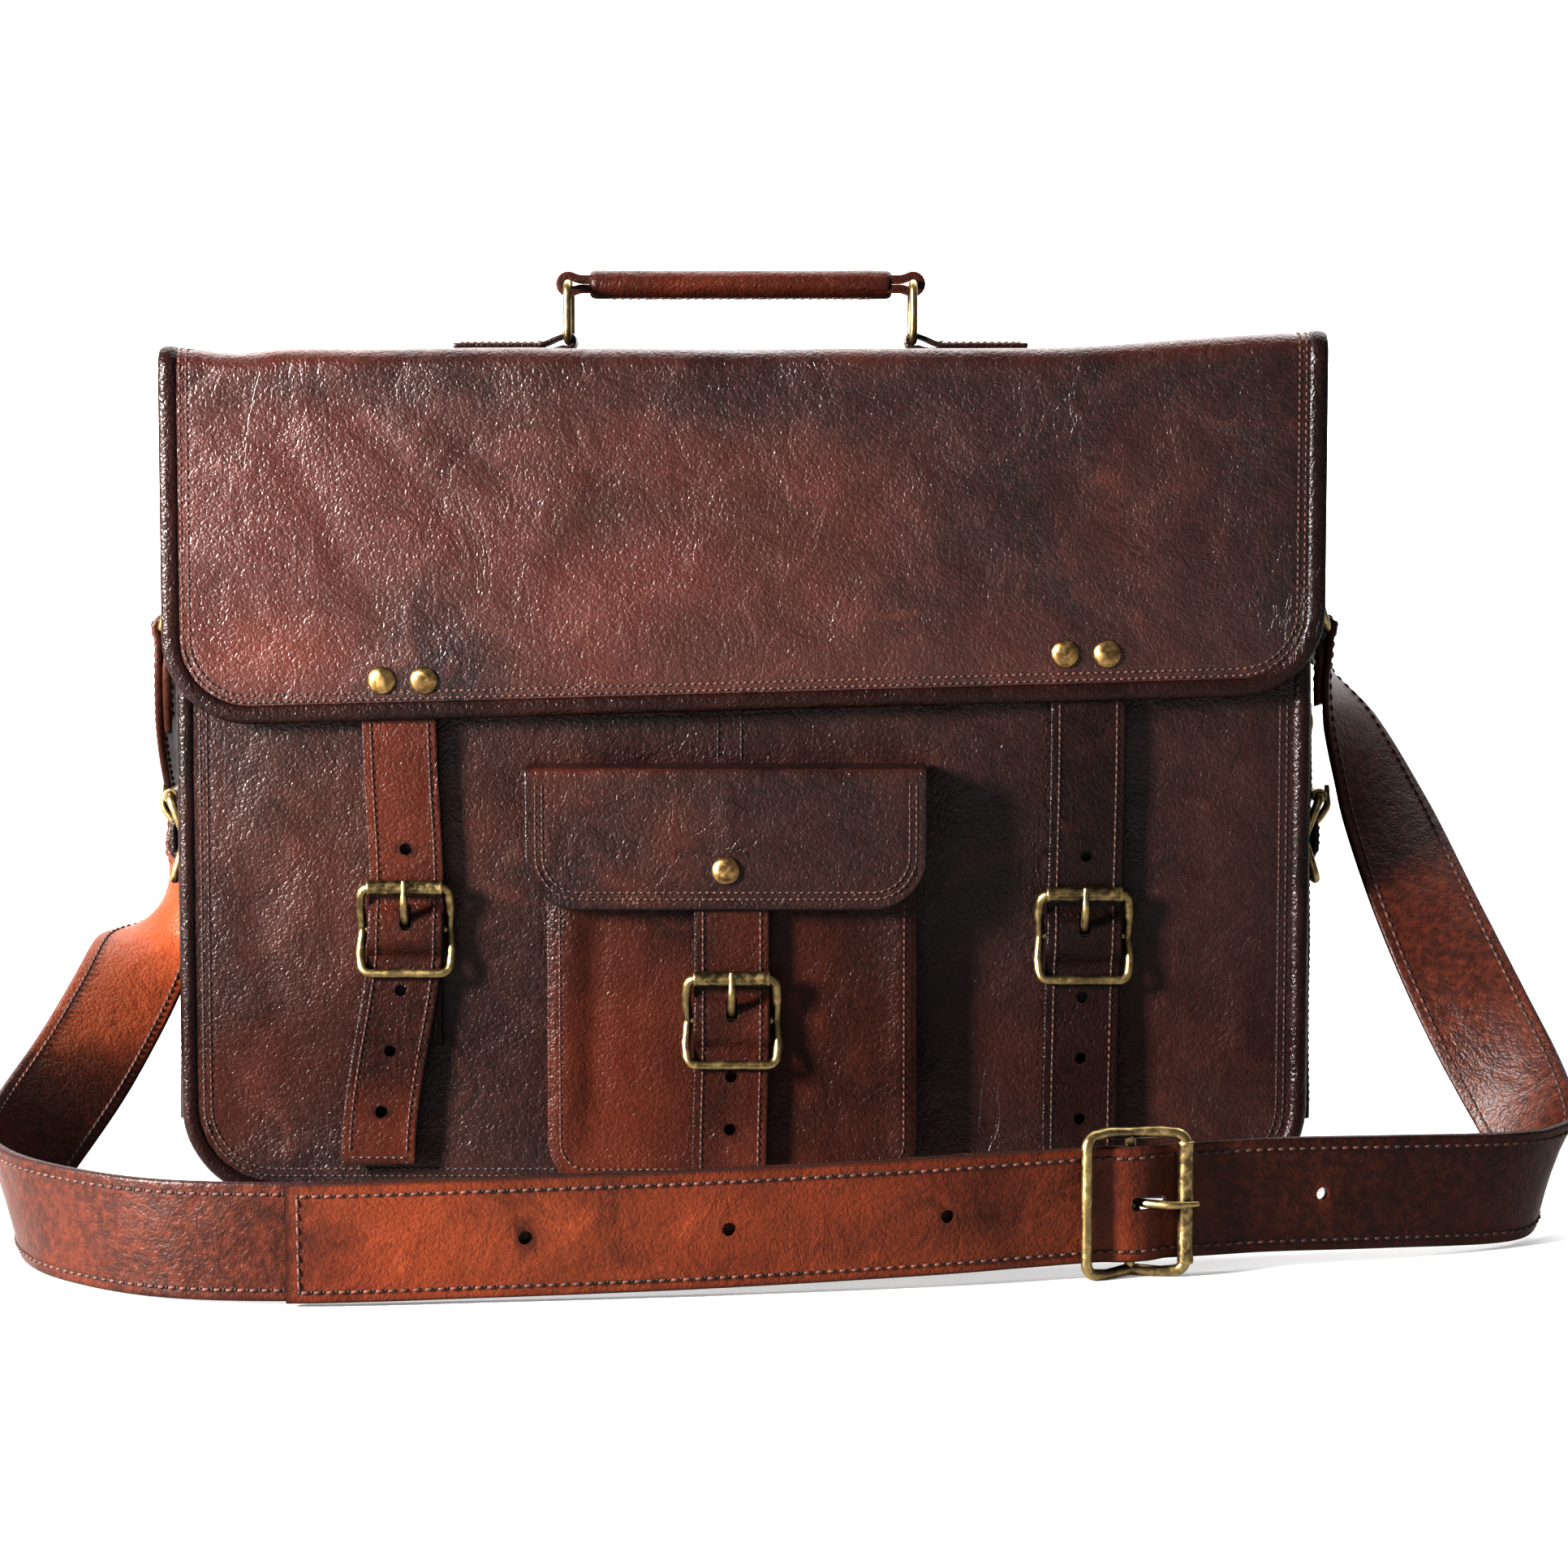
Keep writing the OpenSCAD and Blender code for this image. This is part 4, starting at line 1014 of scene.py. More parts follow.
lp = u_path(-197.4, 197.4, 297.0, 4.6, 4.6, 28.0, 5.0)
lin = join([inner_sheet("lf", -52.0, 5.0, "cloth", 1.0), inner_sheet("lb", 52.0, 5.0, "cloth", -1.0),
            band("lg", lp, np.linspace(-51.9, 51.9, 16),
                 lambda x, y, z: 0.8 * fbm(x * 0.02, y * 0.03, z * 0.02, 41), 0.8, "cloth")], "lining_cloth")
attach(lin, BAG, ("lining",))
div = inner_sheet("divider_sheet", 12.2, 6.5, "suede", -1.0, amp=0.5, t=3.2, top=240.0)
xs = np.linspace(-196, 196, 50)
P = np.stack([xs, np.full(50, 13.8), np.full(50, 242.0)], 1)
Q = np.broadcast_to(np.array([0, 0, -1.0]), P.shape)
N = np.broadcast_to(np.array([0, -1.0, 0]), P.shape)
rim = sweep("dr", P, Q, N, roll_profile(10.0, 2.3, 2.3), "dark")
attach(join([div, rim], "divider_leather"), BAG, ("divider",))


# ------------------------------------------------------------------ main flap
TOP_Z = 306.0
FLAP_X = 207.0           # half the width of the flap
FLAP_LOW = (172, 183.5)  # its lower edge, at the left and the right
FLAP_R = 31
BEND = 7.4
FRONT_Y = -67.55
S1 = -(FRONT_Y + BEND)
S2 = S1 + BEND * math.pi / 2
Z2 = TOP_Z - BEND


def flap_rise(x, fwd):
    """How much the top differs from flat, forward of the handle."""
    a = (0.2 - 1.9 * bump(x, -180, 13) - 0.5 * bump(x, -140, 30) + 5.6 * smooth(98, 204, x)
         + 0.35 * vnoise(x * 0.022, 0.5, 0, 6))
    return a * smooth(18, 56, fwd)


def flap_relief(x, s):
    """Outward relief of the hanging part."""
    down = np.maximum(s - S2, 0)
    d = 0.95 * fbm(x * 0.014, s * 0.016, 0.7, 51) + 0.30 * fbm(x * 0.045, s * 0.05, 0.2, 57, 2)
    d = d + 0.9 * bump(down, 55, 38)
    # folds: diagonal at the upper left, two upright ones at the right
    for cx, k, w, a, lo, hi in ((-150, 0.9, 5, 0.7, 6, 58), (-128, 1.1, 4, 0.5, 10, 50),
                                (-175, 0.5, 6, 0.6, 20, 90),
                                (150, -0.25, 6, 0.6, 10, 95), (172, -0.15, 5, 0.5, 20, 100),
                                (60, 0.3, 8, 0.4, 10, 70),
                                (-30, -0.4, 9, 0.35, 15, 90)):
        d = d - a * bump(x - k * down, cx, w) * smooth(lo - 6, lo + 10, down) * smooth(hi + 12, hi - 12, down)
    # the straps press through from behind
    z = Z2 - down
    for cx, zt in ((-121, 196.5), (122, 207.0)):
        d = d + 0.55 * smooth(20, 13, np.abs(x - cx)) * smooth(zt + 5, zt - 3, z)
    return d


def flap_front_f(x, s):
    x, s = np.broadcast_arrays(np.asarray(x, float), np.asarray(s, float))
    a = np.clip((s - S1) / BEND, 0, math.pi / 2)
    y = -np.minimum(s, S1) - BEND * np.sin(a)
    z = TOP_Z - BEND * (1 - np.cos(a)) - np.maximum(s - S2, 0)
    ny, nz = -np.sin(a), np.cos(a)
    rise = flap_rise(x, s) * smooth(S2 + 70, S2, s)
    top = 0.45 * fbm(x * 0.02, s * 0.03, 3, 61) * smooth(10, 26, s) * smooth(S2 + 20, S2, s)
    rel = flap_relief(x, s) * smooth(S1 - 10, S2 + 12, s) + top
    edge = FLAP_X - np.abs(x)
    low = outline_low(x, -FLAP_X, FLAP_X, *FLAP_LOW, FLAP_R)
    edge2 = np.where(s > S2, z - low, 400)
    e = np.minimum(edge, edge2)
    rel = (0.65 + 1.25 * np.tanh((rel - 0.65) / 1.25)) * smooth(2, 26, e)
    rel = rel - 0.28 * (bump(e, 7.7, 0.75) + bump(e, 10.1, 0.75)) + 0.22 * bump(e, 8.9, 0.7)
    return np.stack([x, y + ny * rel, z + nz * rel + rise], -1)


BY, BR = 61.4, 6.4
B1 = BY - BR
B2 = B1 + BR * math.pi / 2


def flap_back_f(x, s):
    x, s = np.broadcast_arrays(np.asarray(x, float), np.asarray(s, float))
    a = np.clip((s - B1) / BR, 0, math.pi / 2)
    y = np.minimum(s, B1) + BR * np.sin(a)
    z = TOP_Z - BR * (1 - np.cos(a)) - np.maximum(s - B2, 0)
    y = y - 0.8 * smooth(B2 + 5, B2 + 30, s)
    rel = 0.45 * fbm(x * 0.02, s * 0.03, 9, 63) * smooth(10, 26, s)
    e = FLAP_X - np.abs(x)
    rel = rel * smooth(2, 24, e) - 0.28 * (bump(e, 7.7, 0.75) + bump(e, 10.1, 0.75))
    return np.stack([x, y + np.sin(a) * rel, z + np.cos(a) * rel], -1)


ff_n = oriented(flap_front_f, -1.0)
fb_n = oriented(flap_back_f, 1.0)


def check_up(fn, u, v, want):
    n = fn(np.array([float(u)]), np.array([float(v)]))[0]
    if float(n @ np.array(want, float)) < 0:
        raise SystemExit("normal the wrong way: %s" % (want,))


check_up(front_n, 0, 120, (0, -1, 0))
check_up(back_n, 0, 120, (0, 1, 0))
check_up(ff_n, 0, 20, (0, 0, 1))
check_up(fb_n, 0, 20, (0, 0, 1))

xs = columns(-205.6, 205.6, 30.0, 4.5)
low = outline_low(xs, -205.6, 205.6, 173.4, 184.9, 30.0)
s_end = S2 + (Z2 - low)
near = (17, 13.5, 11.3, 10.1, 8.9, 7.7, 6.4, 4.2, 2.0, 0)
rows = [np.full_like(xs, s) for s in np.concatenate([np.linspace(0, S1 - 2, 14),
                                                     np.linspace(S1, S2 + 2, 12)])]
for k in range(1, 31):
    rows.append((S2 + 2) + (s_end - near[0] - S2 - 2) * k / 30)
for d in near[1:]:
    rows.append(s_end - d)
V = np.array(rows)
U = np.broadcast_to(xs[None, :], V.shape)
zz = Z2 - (V - S2)
tone = tone_map(U, zz, 12, -0.05)
tone = tone + 0.35 * np.exp(-(((U + 60) / 70) ** 2 + ((zz - 215) / 45) ** 2)) - 0.5 * smooth(S1 - 4, S1 - 40,
                                                                                             V)
tone = tone - 0.35 * bump(zz, 293, 9) + 0.20 * bump(zz, 303, 6)
for cx, cz, rx, rz, am in ((-165, 198, 26, 13, 0.75), (-20, 268, 60, 14, 0.35), (60, 250, 50, 30, 0.15),
                           (-150, 250, 60, 40, 0.15),
                           (-60, 222, 55, 26, 0.2), (120, 215, 60, 22, -0.25), (-100, 285, 90, 8, 0.2),
                           (-10, 205, 40, 14, -0.35),
                           (82, 250, 42, 60, -0.75), (190, 250, 22, 60, -0.3), (-190, 250, 16, 60, -0.3)):
    tone = tone + am * np.exp(-(((U - cx) / rx) ** 2 + ((zz - cz) / rz) ** 2))
fl = slab("flap_sheet", flap_front_f(U, V), ff_n(U, V), 2.3, "brown", tone=np.clip(tone, -1, 1))
upath = u_path(-FLAP_X, FLAP_X, Z2, *FLAP_LOW, FLAP_R, 2.5)
# in surface coordinates: x and distance s over the top, the bend and the drop
uv = np.array([(p[0], S2 + (Z2 - p[1])) for p in upath])
side_s = np.arange(0, S2, 2.0)
left = np.array([(-FLAP_X, s) for s in side_s])
right = np.array([(FLAP_X, s) for s in side_s[::-1]])
uv = np.concatenate([left, uv, right])
uv = uv[::-1]          # keeps inward to the left of travel


def rim_sweep(name, f, fn, uv, width, over, under, mat):
    t = tangents(uv)
    n = np.stack([-t[:, 1], t[:, 0]], 1)
    P = f(uv[:, 0], uv[:, 1])
    I = f(uv[:, 0] + n[:, 0] * 3, uv[:, 1] + n[:, 1] * 3)
    Q = I - P
    Q /= np.linalg.norm(Q, axis=1, keepdims=True)
    N = fn(uv[:, 0], uv[:, 1])
    N = N - Q * np.sum(N * Q, 1, keepdims=True)
    N /= np.linalg.norm(N, axis=1, keepdims=True)
    P = P - N * 1.15
    return sweep(name, P, Q, N, roll_profile(width, over, under), mat)


bind = rim_sweep("flap_roll", flap_front_f, ff_n, uv, 6.9, 2.15, 1.5, "dark")
bits = [fl]
bits += edge_seams("fs", flap_front_f, ff_n, uv, (7.7, 10.1), 2.65, 0.42, "thread")
fl = join(bits, "flap_front_leather")
FLAP_FRONT = ("flap", "flap_drop", (0, -58, 306), (0, -67.5, 296))
attach(fl, FLAP_FRONT, ("flap_drop", "flap_rear"))
attach(bind, FLAP_FRONT, ("flap_drop_binding", "flap_rear_binding"))
bind.name = "flap_front_roll"

s_low = B2 + (TOP_Z - BR - 266)
xs = columns(-205.6, 205.6, 14.0, 5.0)
rows = np.concatenate([np.linspace(0, B1 - 2, 13), np.linspace(B1, B2 + 2, 11),
                       np.linspace(B2 + 4, s_low - 12, 8),
                       s_low - np.array([8.5, 6.5, 5, 3.5, 2, 0.8, 0])])
V, U = np.broadcast_arrays(rows[:, None], xs[None, :])
fb = slab("fb", flap_back_f(U, V), fb_n(U, V), 2.2, "brown", tone=tone_map(U, V * 2, 15, -0.3))
bits = [fb]
for s0 in (s_low - 4.0, s_low - 6.6):
    line = np.stack([np.linspace(-196, 196, 120), np.full(120, s0)], 1)
    bits += edge_seams("bs", flap_back_f, fb_n, line, (0,), 2.7, 0.42, "thread_dark")
for sx in (-1, 1):
    for inset in (7.7, 10.1):
        line = np.stack([np.full(60, sx * (FLAP_X - inset)), np.linspace(0, s_low - 8, 60)], 1)
        bits += edge_seams("bs", flap_back_f, fb_n, line, (0,), 2.65, 0.42, "thread")
fb = join(bits, "flap_back_leather")
FLAP_BACK = ("bag", "flap", (0, 61.4, 297), (0, 52, 306))
attach(fb, FLAP_BACK)
bits = []
for sx in (-1, 1):
    line = np.stack([np.full(60, sx * FLAP_X), np.linspace(0, s_low, 60)], 1)
    if sx < 0:
        line = line[::-1]
    bits.append(rim_sweep("br", flap_back_f, fb_n, line, 6.9, 2.15, 1.5, "dark"))
attach(join(bits, "flap_back_roll"), FLAP_BACK)


# ------------------------------------------------------------------ rivets
def rivet(name, o, axis, r=5.1, h=2.3):
    prof = [(0, h)]
    for k in range(1, 8):
        a = k / 8 * math.pi / 2
        prof.append((r * 0.97 * math.sin(a), h * (0.18 + 0.82 * math.cos(a))))
    prof += [(r, h * 0.16), (r * 0.99, 0.05), (r * 0.93, -0.1), (1.6, -0.15), (1.5, -2.0), (0, -2.05)]
    return lathe(name, prof, o, axis, "brass_cap")


bits = []
for x, z in ((-128.5, 188.5), (-113.5, 188.5), (114.5, 198), (129.5, 198)):
    s = S2 + Z2 - z
    p = flap_front_f(np.array([x * 1.0]), np.array([s]))[0]
    n = ff_n(np.array([x * 1.0]), np.array([s]))[0]
    bits.append(rivet("rv", p - n * 0.1, n))
attach(join(bits, "flap_rivet_caps"), ("flap_drop",), ("flap_rivets",))


# ------------------------------------------------------------------ buckled straps
def over_bump(lz, base=0.35, peak=3.75, flat=3.4, ramp=10.5):
    a = np.abs(lz)
    return base + (peak - base) * (1 - smooth(flat, ramp, a))


def strap_object(name, spot, w, up, down, holes, mat, spec, node, tone, wander=None, tip=0.0):
    t = 2.4
    lz = np.concatenate([np.arange(up, 12, -2.2), np.arange(12, -12, -0.9), np.arange(-12, -down, -2.2),
                         [-down]])
    lx = np.zeros_like(lz) if wander is None else wander(lz)
    seed = len(name)
    wave = 0.22 * (1 + vnoise(lz * 0.05, 0.3, 0,
                              seed)) * smooth(9, 22, np.abs(lz)) * (1 - smooth(up - 30, up - 12, lz))
    out = over_bump(lz) + wave + tip * smooth(-down + 34, -down, lz)
    path = spot.pt(lx, out + t / 2, lz)
    L = np.concatenate([[0], np.cumsum(np.linalg.norm(np.diff(path, axis=0), axis=1))])
    ob, L, N, W = strip_mesh(name, path, spot.ex, w, t, mat, tone=tone, out=spot.eo)
    cutters = []
    for z, r in holes:
        i = float(np.interp(-z, -lz, np.arange(len(lz))))
        c = np.array([np.interp(i, np.arange(len(lz)), path[:, k]) for k in range(3)])
        cutters.append((c, spot.eo, r))
    cutters.append((spot.pt(np.interp(-4.7, -lz, lx), 3.0, 4.7), spot.eo, 2.0, spot.ez, 5.4))
    punch(ob, cutters, depth=14)
    bits = [ob]
    for sx in (-1, 1):
        a = w / 2 - 3.3
        P = path + W * sx * a + N * (t / 2 + 0.02)
        keep = (L > 3.5) & (L < L[-1] - 3.5)
        bits += stitches("ss", P[keep], N[keep], pitch=2.75, r=0.42, mat="thread")
    # stitched across near the tip
    e = int(np.searchsorted(L, L[-1] - 3.5))
    c = path[e]
    line = resample([c - W[e] * (w / 2 - 3.3), c + W[e] * (w / 2 - 3.3)], 2.0) + N[e] * (t / 2 + 0.02)
    bits += stitches("ss", line, N[e], pitch=2.75, r=0.42, mat="thread")
    ob = join(bits, name)
    attach(ob, spec, (node,))


def closing_tone(rusty):
    def f(L, u, P):
        z = P[..., 2]
        t = 0.35 * fbm(P[..., 0] * 0.03, z * 0.02, 1.3, 71)
        if rusty:
            return np.clip(t + 0.35 - 0.75 * bump(z, 66, 30) + 0.35 * smooth(48, 20, z) + 0.25
                           * bump(z, 130, 26), -1, 1)
        return np.clip(t - 0.45, -1, 1)
    return f


strap_object("strap_left_leather", SPOTS["left"], 27, 98.5, 85, [(z, 2.1) for z in (29, -22, -44, -66)],
             "rust",
             ("flap_drop", "strap_left", (-121, -63, 180), (-121, -63, 160)), "strap_left",
             closing_tone(True),
             wander=lambda z: -11.0 * smooth(-2, -85, z) - 1.5 * smooth(10, 60, z) + 0.6 * np.sin(z * 0.05),
             tip=0.8)
strap_object("strap_right_leather", SPOTS["right"], 27, 110.5, 82.5, [(z, 2.1) for z in (29, -22, -44, -66)],
             "dark",
             ("flap_drop", "strap_right", (122, -63, 188), (122, -63, 168)), "strap_right",
             closing_tone(False),
             wander=lambda z: 1.2 * np.sin(z * 0.02), tip=0.5)


def pocket_tone(L, u, P):
    return np.clip(0.15 + 0.35 * fbm(P[..., 0] * 0.03, P[..., 2] * 0.02, 2.3, 73), -1, 1)


strap_object("pocket_strap_leather", SPOTS["pocket"], 27, 61, 58, [(z, 2.1) for z in (-20, -39)], "rust",
             ("pocket_flap", "pocket_strap", (-4, -77, 114), (-4, -77, 98)), "pocket_strap",
             pocket_tone,
             wander=lambda z: -1.0 * smooth(0, -55, z), tip=0.6)
for sd in ("left", "right"):
    sx = -1 if sd == "left" else 1
    strap_object("side_strap_" + sd + "_leather", SPOTS["side_" + sd], 27, 50, 105,
                 [(z, 2.1) for z in (-22, -44, -66, -88)], "dark",
                 ("bag", "side_strap_" + sd, (sx * 208, 0, 171), (sx * 208, 0, 152)),
                 "side_strap_" + sd,
                 closing_tone(False), tip=0.5)


# ------------------------------------------------------------------ buckles
WIRE, ROLLER_D, ROLLER_LEN = 3.3, 5.5, 27.2
REACH, ROLLER_OUT = 15.5, 6.0    # the roller's axis from the bar: along the strap, and outward
CHAPE_T = 1.6
SLING_WIRE, SLING_ROLLER_D = 3.8, 5.4
SLING_REACH, SLING_OUT = 17, 6.45


def buckle(name, spot, body, node_set, h=15.6, reach=REACH, out_r=ROLLER_OUT, out_k=4.9, wire=WIRE, bow=0.9,
           corner=3.4):
    r = wire / 2
    pts = []
    for lx, out, lz in ((h, 0, 0), (h + bow * 0.7, out_r * 0.55, reach * 0.55), (h, out_r, reach),
                        (-h, out_r, reach),
                        (-h - bow * 0.7, out_r * 0.55, reach * 0.55), (-h, 0, 0),
                        (-h - bow, out_k * 0.55, -reach * 0.55), (-h, out_k, -reach),
                        (h, out_k, -reach), (h + bow, out_k * 0.55, -reach * 0.55)):
        pts.append(spot.pt(lx, out, lz))
    ring = wire_loop(pts, corner, 7, 0.9)
    k = np.arange(len(ring))
    rr = r * (1 + 0.03 * np.sin(k * 0.4))
    bits = [tube(name, ring, rr, "brass", closed=True, sides=16)]
    bar = np.stack([spot.pt(x, 0, 0) for x in np.linspace(-h, h, 24)])
    bits.append(tube(name + "_bar", bar, r * 0.96, "brass", sides=16))
    ob = join(bits, name + "_wire")
    attach(ob, (body,), (node_set[0],))


def roller(name, spot, body, node, length, d, reach, out_r, wire):
    r_in = wire / 2 + 0.06
    r = d / 2
    hl = length / 2
    prof = [(r_in, -hl), (r * 0.94, -hl), (r, -hl + 0.35), (r, -hl + 1.0), (r * 0.975, -hl + 1.4),
            (r * 0.975, hl - 1.4), (r, hl - 1.0), (r, hl - 0.35), (r * 0.94, hl), (r_in, hl)]
    o = spot.pt(0, out_r, reach)
    sides = 30
    verts, faces = [], []
    m = len(prof)
    for k in range(sides):
        # rolled from sheet: the two edges meet in a shallow seam at the back
        q = 2 * math.pi * k / sides
        g = 0.12 if k == 0 else 0.0
        for rad, ax in prof:
            e = rad - (g if rad > r_in + 0.2 else 0)
            verts.append(o + spot.ex * ax + (spot.eo * -math.cos(q) + spot.ez * math.sin(q)) * e)
    for k in range(sides):
        a, b = k * m, ((k + 1) % sides) * m
        for i in range(m):
            j = (i + 1) % m
            faces.append((a + i, b + i, b + j, a + j))
    ob = fix_normals(new_object(name + "_tube", verts, faces, "brass"))
    attach(ob, (body,), (node,))


def tongue(name, spot, body, node, wire, d, reach, out_r):
    lift = out_r + d / 2 + 1.5 + 0.35
    r_eye = wire / 2 + 0.06 + 1.1
    pts, rad = [], []
    # hooked round the bar, then out and along to the roller
    for k in range(0, 15):
        a = math.radians(250 - k * 17)
        pts.append(spot.pt(0, -math.sin(a) * r_eye, math.cos(a) * r_eye))
        rad.append(1.05)
    knee = (lift - 0.15, reach - 4)
    p0 = pts[-1]
    a0 = spot.pt(0, r_eye * 1.05, r_eye * 0.9)
    a1 = spot.pt(0, knee[0] * 0.62, reach * 0.30)
    a2 = spot.pt(0, knee[0], reach * 0.66)
    a3 = spot.pt(0, lift, reach - 1.5)
    a4 = spot.pt(0, lift - 0.1, reach + 2.9)
    ctrl = [p0, a0, a1, a2, a3, a4]
    for i in range(1, len(ctrl)):
        q0, q1 = ctrl[max(i - 2, 0)], ctrl[i - 1]
        q2, q3 = ctrl[i], ctrl[min(i + 1, len(ctrl) - 1)]
        for k in range(1, 6):
            u = k / 5
            pts.append(catmull(q0, q1, q2, q3, u))
            rad.append(1.1 + 0.42 * math.sin(math.pi * min(1.0, (i - 1 + u) / 4.2)) - 0.35
                       * max(0, (i - 4.4 + u - 1)))
    ob = tube(name + "_pin", np.array(pts), np.clip(rad, 0.8, 1.55), "brass", sides=14)
    attach(ob, (body,), (node,))


def chape(name, spot, w, wire, t, tail, mat, tone):
    r = wire / 2 + 0.06 + t / 2
    back = -(wire / 2 + 0.05 + t)
    lz = [(-tail + k * (tail - 6) / 12) for k in range(13)]
    path = [(back + t * 1.5 + 0.02, z) for z in lz]
    for k in range(1, 22):
        a = math.radians(-60 + k * 12.5)
        path.append((r * math.cos(a), r * math.sin(a)))
    path += [(back + t * 0.5, z) for z in lz[::-1]]
    P = np.array([spot.pt(0, o, z) for o, z in path])
    P = resample(P, 1.3)
    ob, *_ = strip_mesh(name, P, spot.ex, w, t, mat, tone=tone, rim_w=0.8)
    me = bpy.data.meshes.new("cut")
    bm = bmesh.new()
    hw = 2.3
    vs = []
    for lx in (-hw, hw):
        for o in (back + t * 2 + 0.3, 9):
            for z in (-5.0, 9.0):
                vs.append(bm.verts.new(Vector(spot.pt(lx, o, z)) * MM))
    for f in ((0, 1, 3, 2), (4, 6, 7, 5), (0, 4, 5, 1), (2, 3, 7, 6), (0, 2, 6, 4), (1, 5, 7, 3)):
        bm.faces.new([vs[i] for i in f])
    bmesh.ops.recalc_face_normals(bm, faces=bm.faces)
    bm.to_mesh(me)
    bm.free()
    cut_with(ob, me)
    bits = [ob]
    for sx in (-1, 1):
        line = np.array([spot.pt(sx * (w / 2 - 2.6), back + 2 * t + 0.05, z) for z in np.arange(-tail + 3, -8,
                                                                                                1.5)])
        bits += stitches("cs", line, spot.eo, pitch=2.7, r=0.38, mat="thread_dark")
    line = np.array([spot.pt(x, back + 2 * t + 0.05, -tail + 3) for x in np.arange(-w / 2 + 2.6, w / 2 - 2.5,
                                                                                   1.5)])
    bits += stitches("cs", line, spot.eo, pitch=2.7, r=0.38, mat="thread_dark")
    return join(bits, name)


parts = []
for key, tail, mt in (("left", 42, "rust"), ("right", 38, "dark"), ("pocket", 34, "rust"),
                      ("side_left", 34, "dark"), ("side_right", 34, "dark")):
    spot = SPOTS[key]
    buckle("buckle_" + key, spot, "buckle_" + key, ("buckle_" + key,))
    roller("roller_" + key, spot, "roller_" + key, "roller_" + key, ROLLER_LEN, ROLLER_D, REACH, ROLLER_OUT,
           WIRE)
    tongue("tongue_" + key, spot, "tongue_" + key, "tongue_" + key, WIRE, ROLLER_D, REACH, ROLLER_OUT)
    parts.append(chape("chape_" + key, spot, 25, WIRE, CHAPE_T, tail, mt, None))
attach(join(parts, "buckle_chapes"), BAG, ("chapes",))


# ------------------------------------------------------------------ front pocket
PX0, PX1 = -70.0, 62.0


def pocket_f(x, z):
    x, z = np.broadcast_arrays(np.asarray(x, float), np.asarray(z, float))
    e = np.minimum(np.minimum(x - PX0, PX1 - x), z - 9)
    d = 0.55 * fbm(x * 0.025, z * 0.02, 4, 81) * smooth(3, 22, e)
    d = d + 0.9 * bump(e, 5, 5) - 0.8 * bump(x, PX0 + 17 + 0.03 * (z - 70), 3.5) * smooth(14, 40, z)
    d = d + 0.6 * bump(x, PX0 + 10, 4) * smooth(14, 40, z)
    d = np.clip(d, -1.0, 1.3)
    d = d - 0.25 * bump(e, 4.6, 0.8)
    return np.stack([x, -72.5 - d * smooth(0, 3, e), z], -1)


pocket_n = oriented(pocket_f, 1.0)
xs = columns(PX0, PX1, 14.0, 3.5)
low = outline_low(xs, PX0, PX1, 9, 9, 14)
u, v = sheet_uv(xs, 146.0, low, 3.5)
tone = (0.35 * fbm(u * 0.022, v * 0.018, 1, 83) + 0.2 + 0.4 * bump(u, -45, 22) - 0.7 * smooth(20, 55, u)
        - 0.3 * smooth(60, 105, v))
pk = slab("pocket_sheet", pocket_f(u, v), pocket_n(u, v), 2.0, "rust", tone=np.clip(tone, -1, 1))
path = u_path(PX0, PX1, 144.0, 9, 9, 14, 2.0)
bits = [pk]
bits += edge_seams("ps", pocket_f, pocket_n, path, (4.6,), 2.6, 0.40, "thread")
attach(join(bits, "pocket_front_leather"), BAG, ("pocket_front",))
gp = u_path(PX0 + 0.3, PX1 - 0.3, 143.0, 9.2, 9.2, 13.8, 2.5)
attach(band("pocket_gusset_leather", gp, np.linspace(-70.8, -58.7, 9),
            lambda x, y, z: 1.3 * (1 - ((y + 64.7) / 6.05) ** 2) + 0.25
            * vnoise(x * 0.06, y * 0.1, z * 0.06, 5),
            1.6, "dark"), BAG, ("pocket_gusset",))

# pocket flap: back edge sewn on the panel, forward, over and down
QX0, QX1 = -77.0, 65.0
PFLAP_LOW, PFLAP_R = 108.2, 19
PT = 158.4
PB = 2.6
QF = 81.25
T1 = QF - PB - 59.8
T2 = T1 + PB * math.pi / 2


def pflap_f(x, s):
    x, s = np.broadcast_arrays(np.asarray(x, float), np.asarray(s, float))
    a = np.clip((s - T1) / PB, 0, math.pi / 2)
    down = np.maximum(s - T2, 0)
    y = -59.8 - np.minimum(s, T1) - PB * np.sin(a)
    z = PT - PB * (1 - np.cos(a)) - down
    low = outline_low(x, QX0, QX1, PFLAP_LOW, PFLAP_LOW, PFLAP_R)
    e = np.minimum(np.minimum(x - QX0, QX1 - x), np.where(s > T2, z - low, 99))
    rel = 0.4 * fbm(x * 0.03, s * 0.03, 8, 91) * smooth(2, 14, e) * smooth(T1 - 6, T2 + 6, s)
    rel = rel + 0.75 * bump(x, -6 - 0.04 * down, 1.8) * smooth(2, 10, down) * smooth(40, 30, down)
    rel = rel - 0.35 * bump(x, -9.5, 1.6) * smooth(2, 10, down) * smooth(40, 30, down)
    rel = rel - 0.25 * (bump(e, 3.6, 0.7) + bump(e, 6.0, 0.7)) + 0.2 * bump(e, 4.8, 0.6)
    return np.stack([x, y - np.sin(a) * rel, z + np.cos(a) * rel], -1)


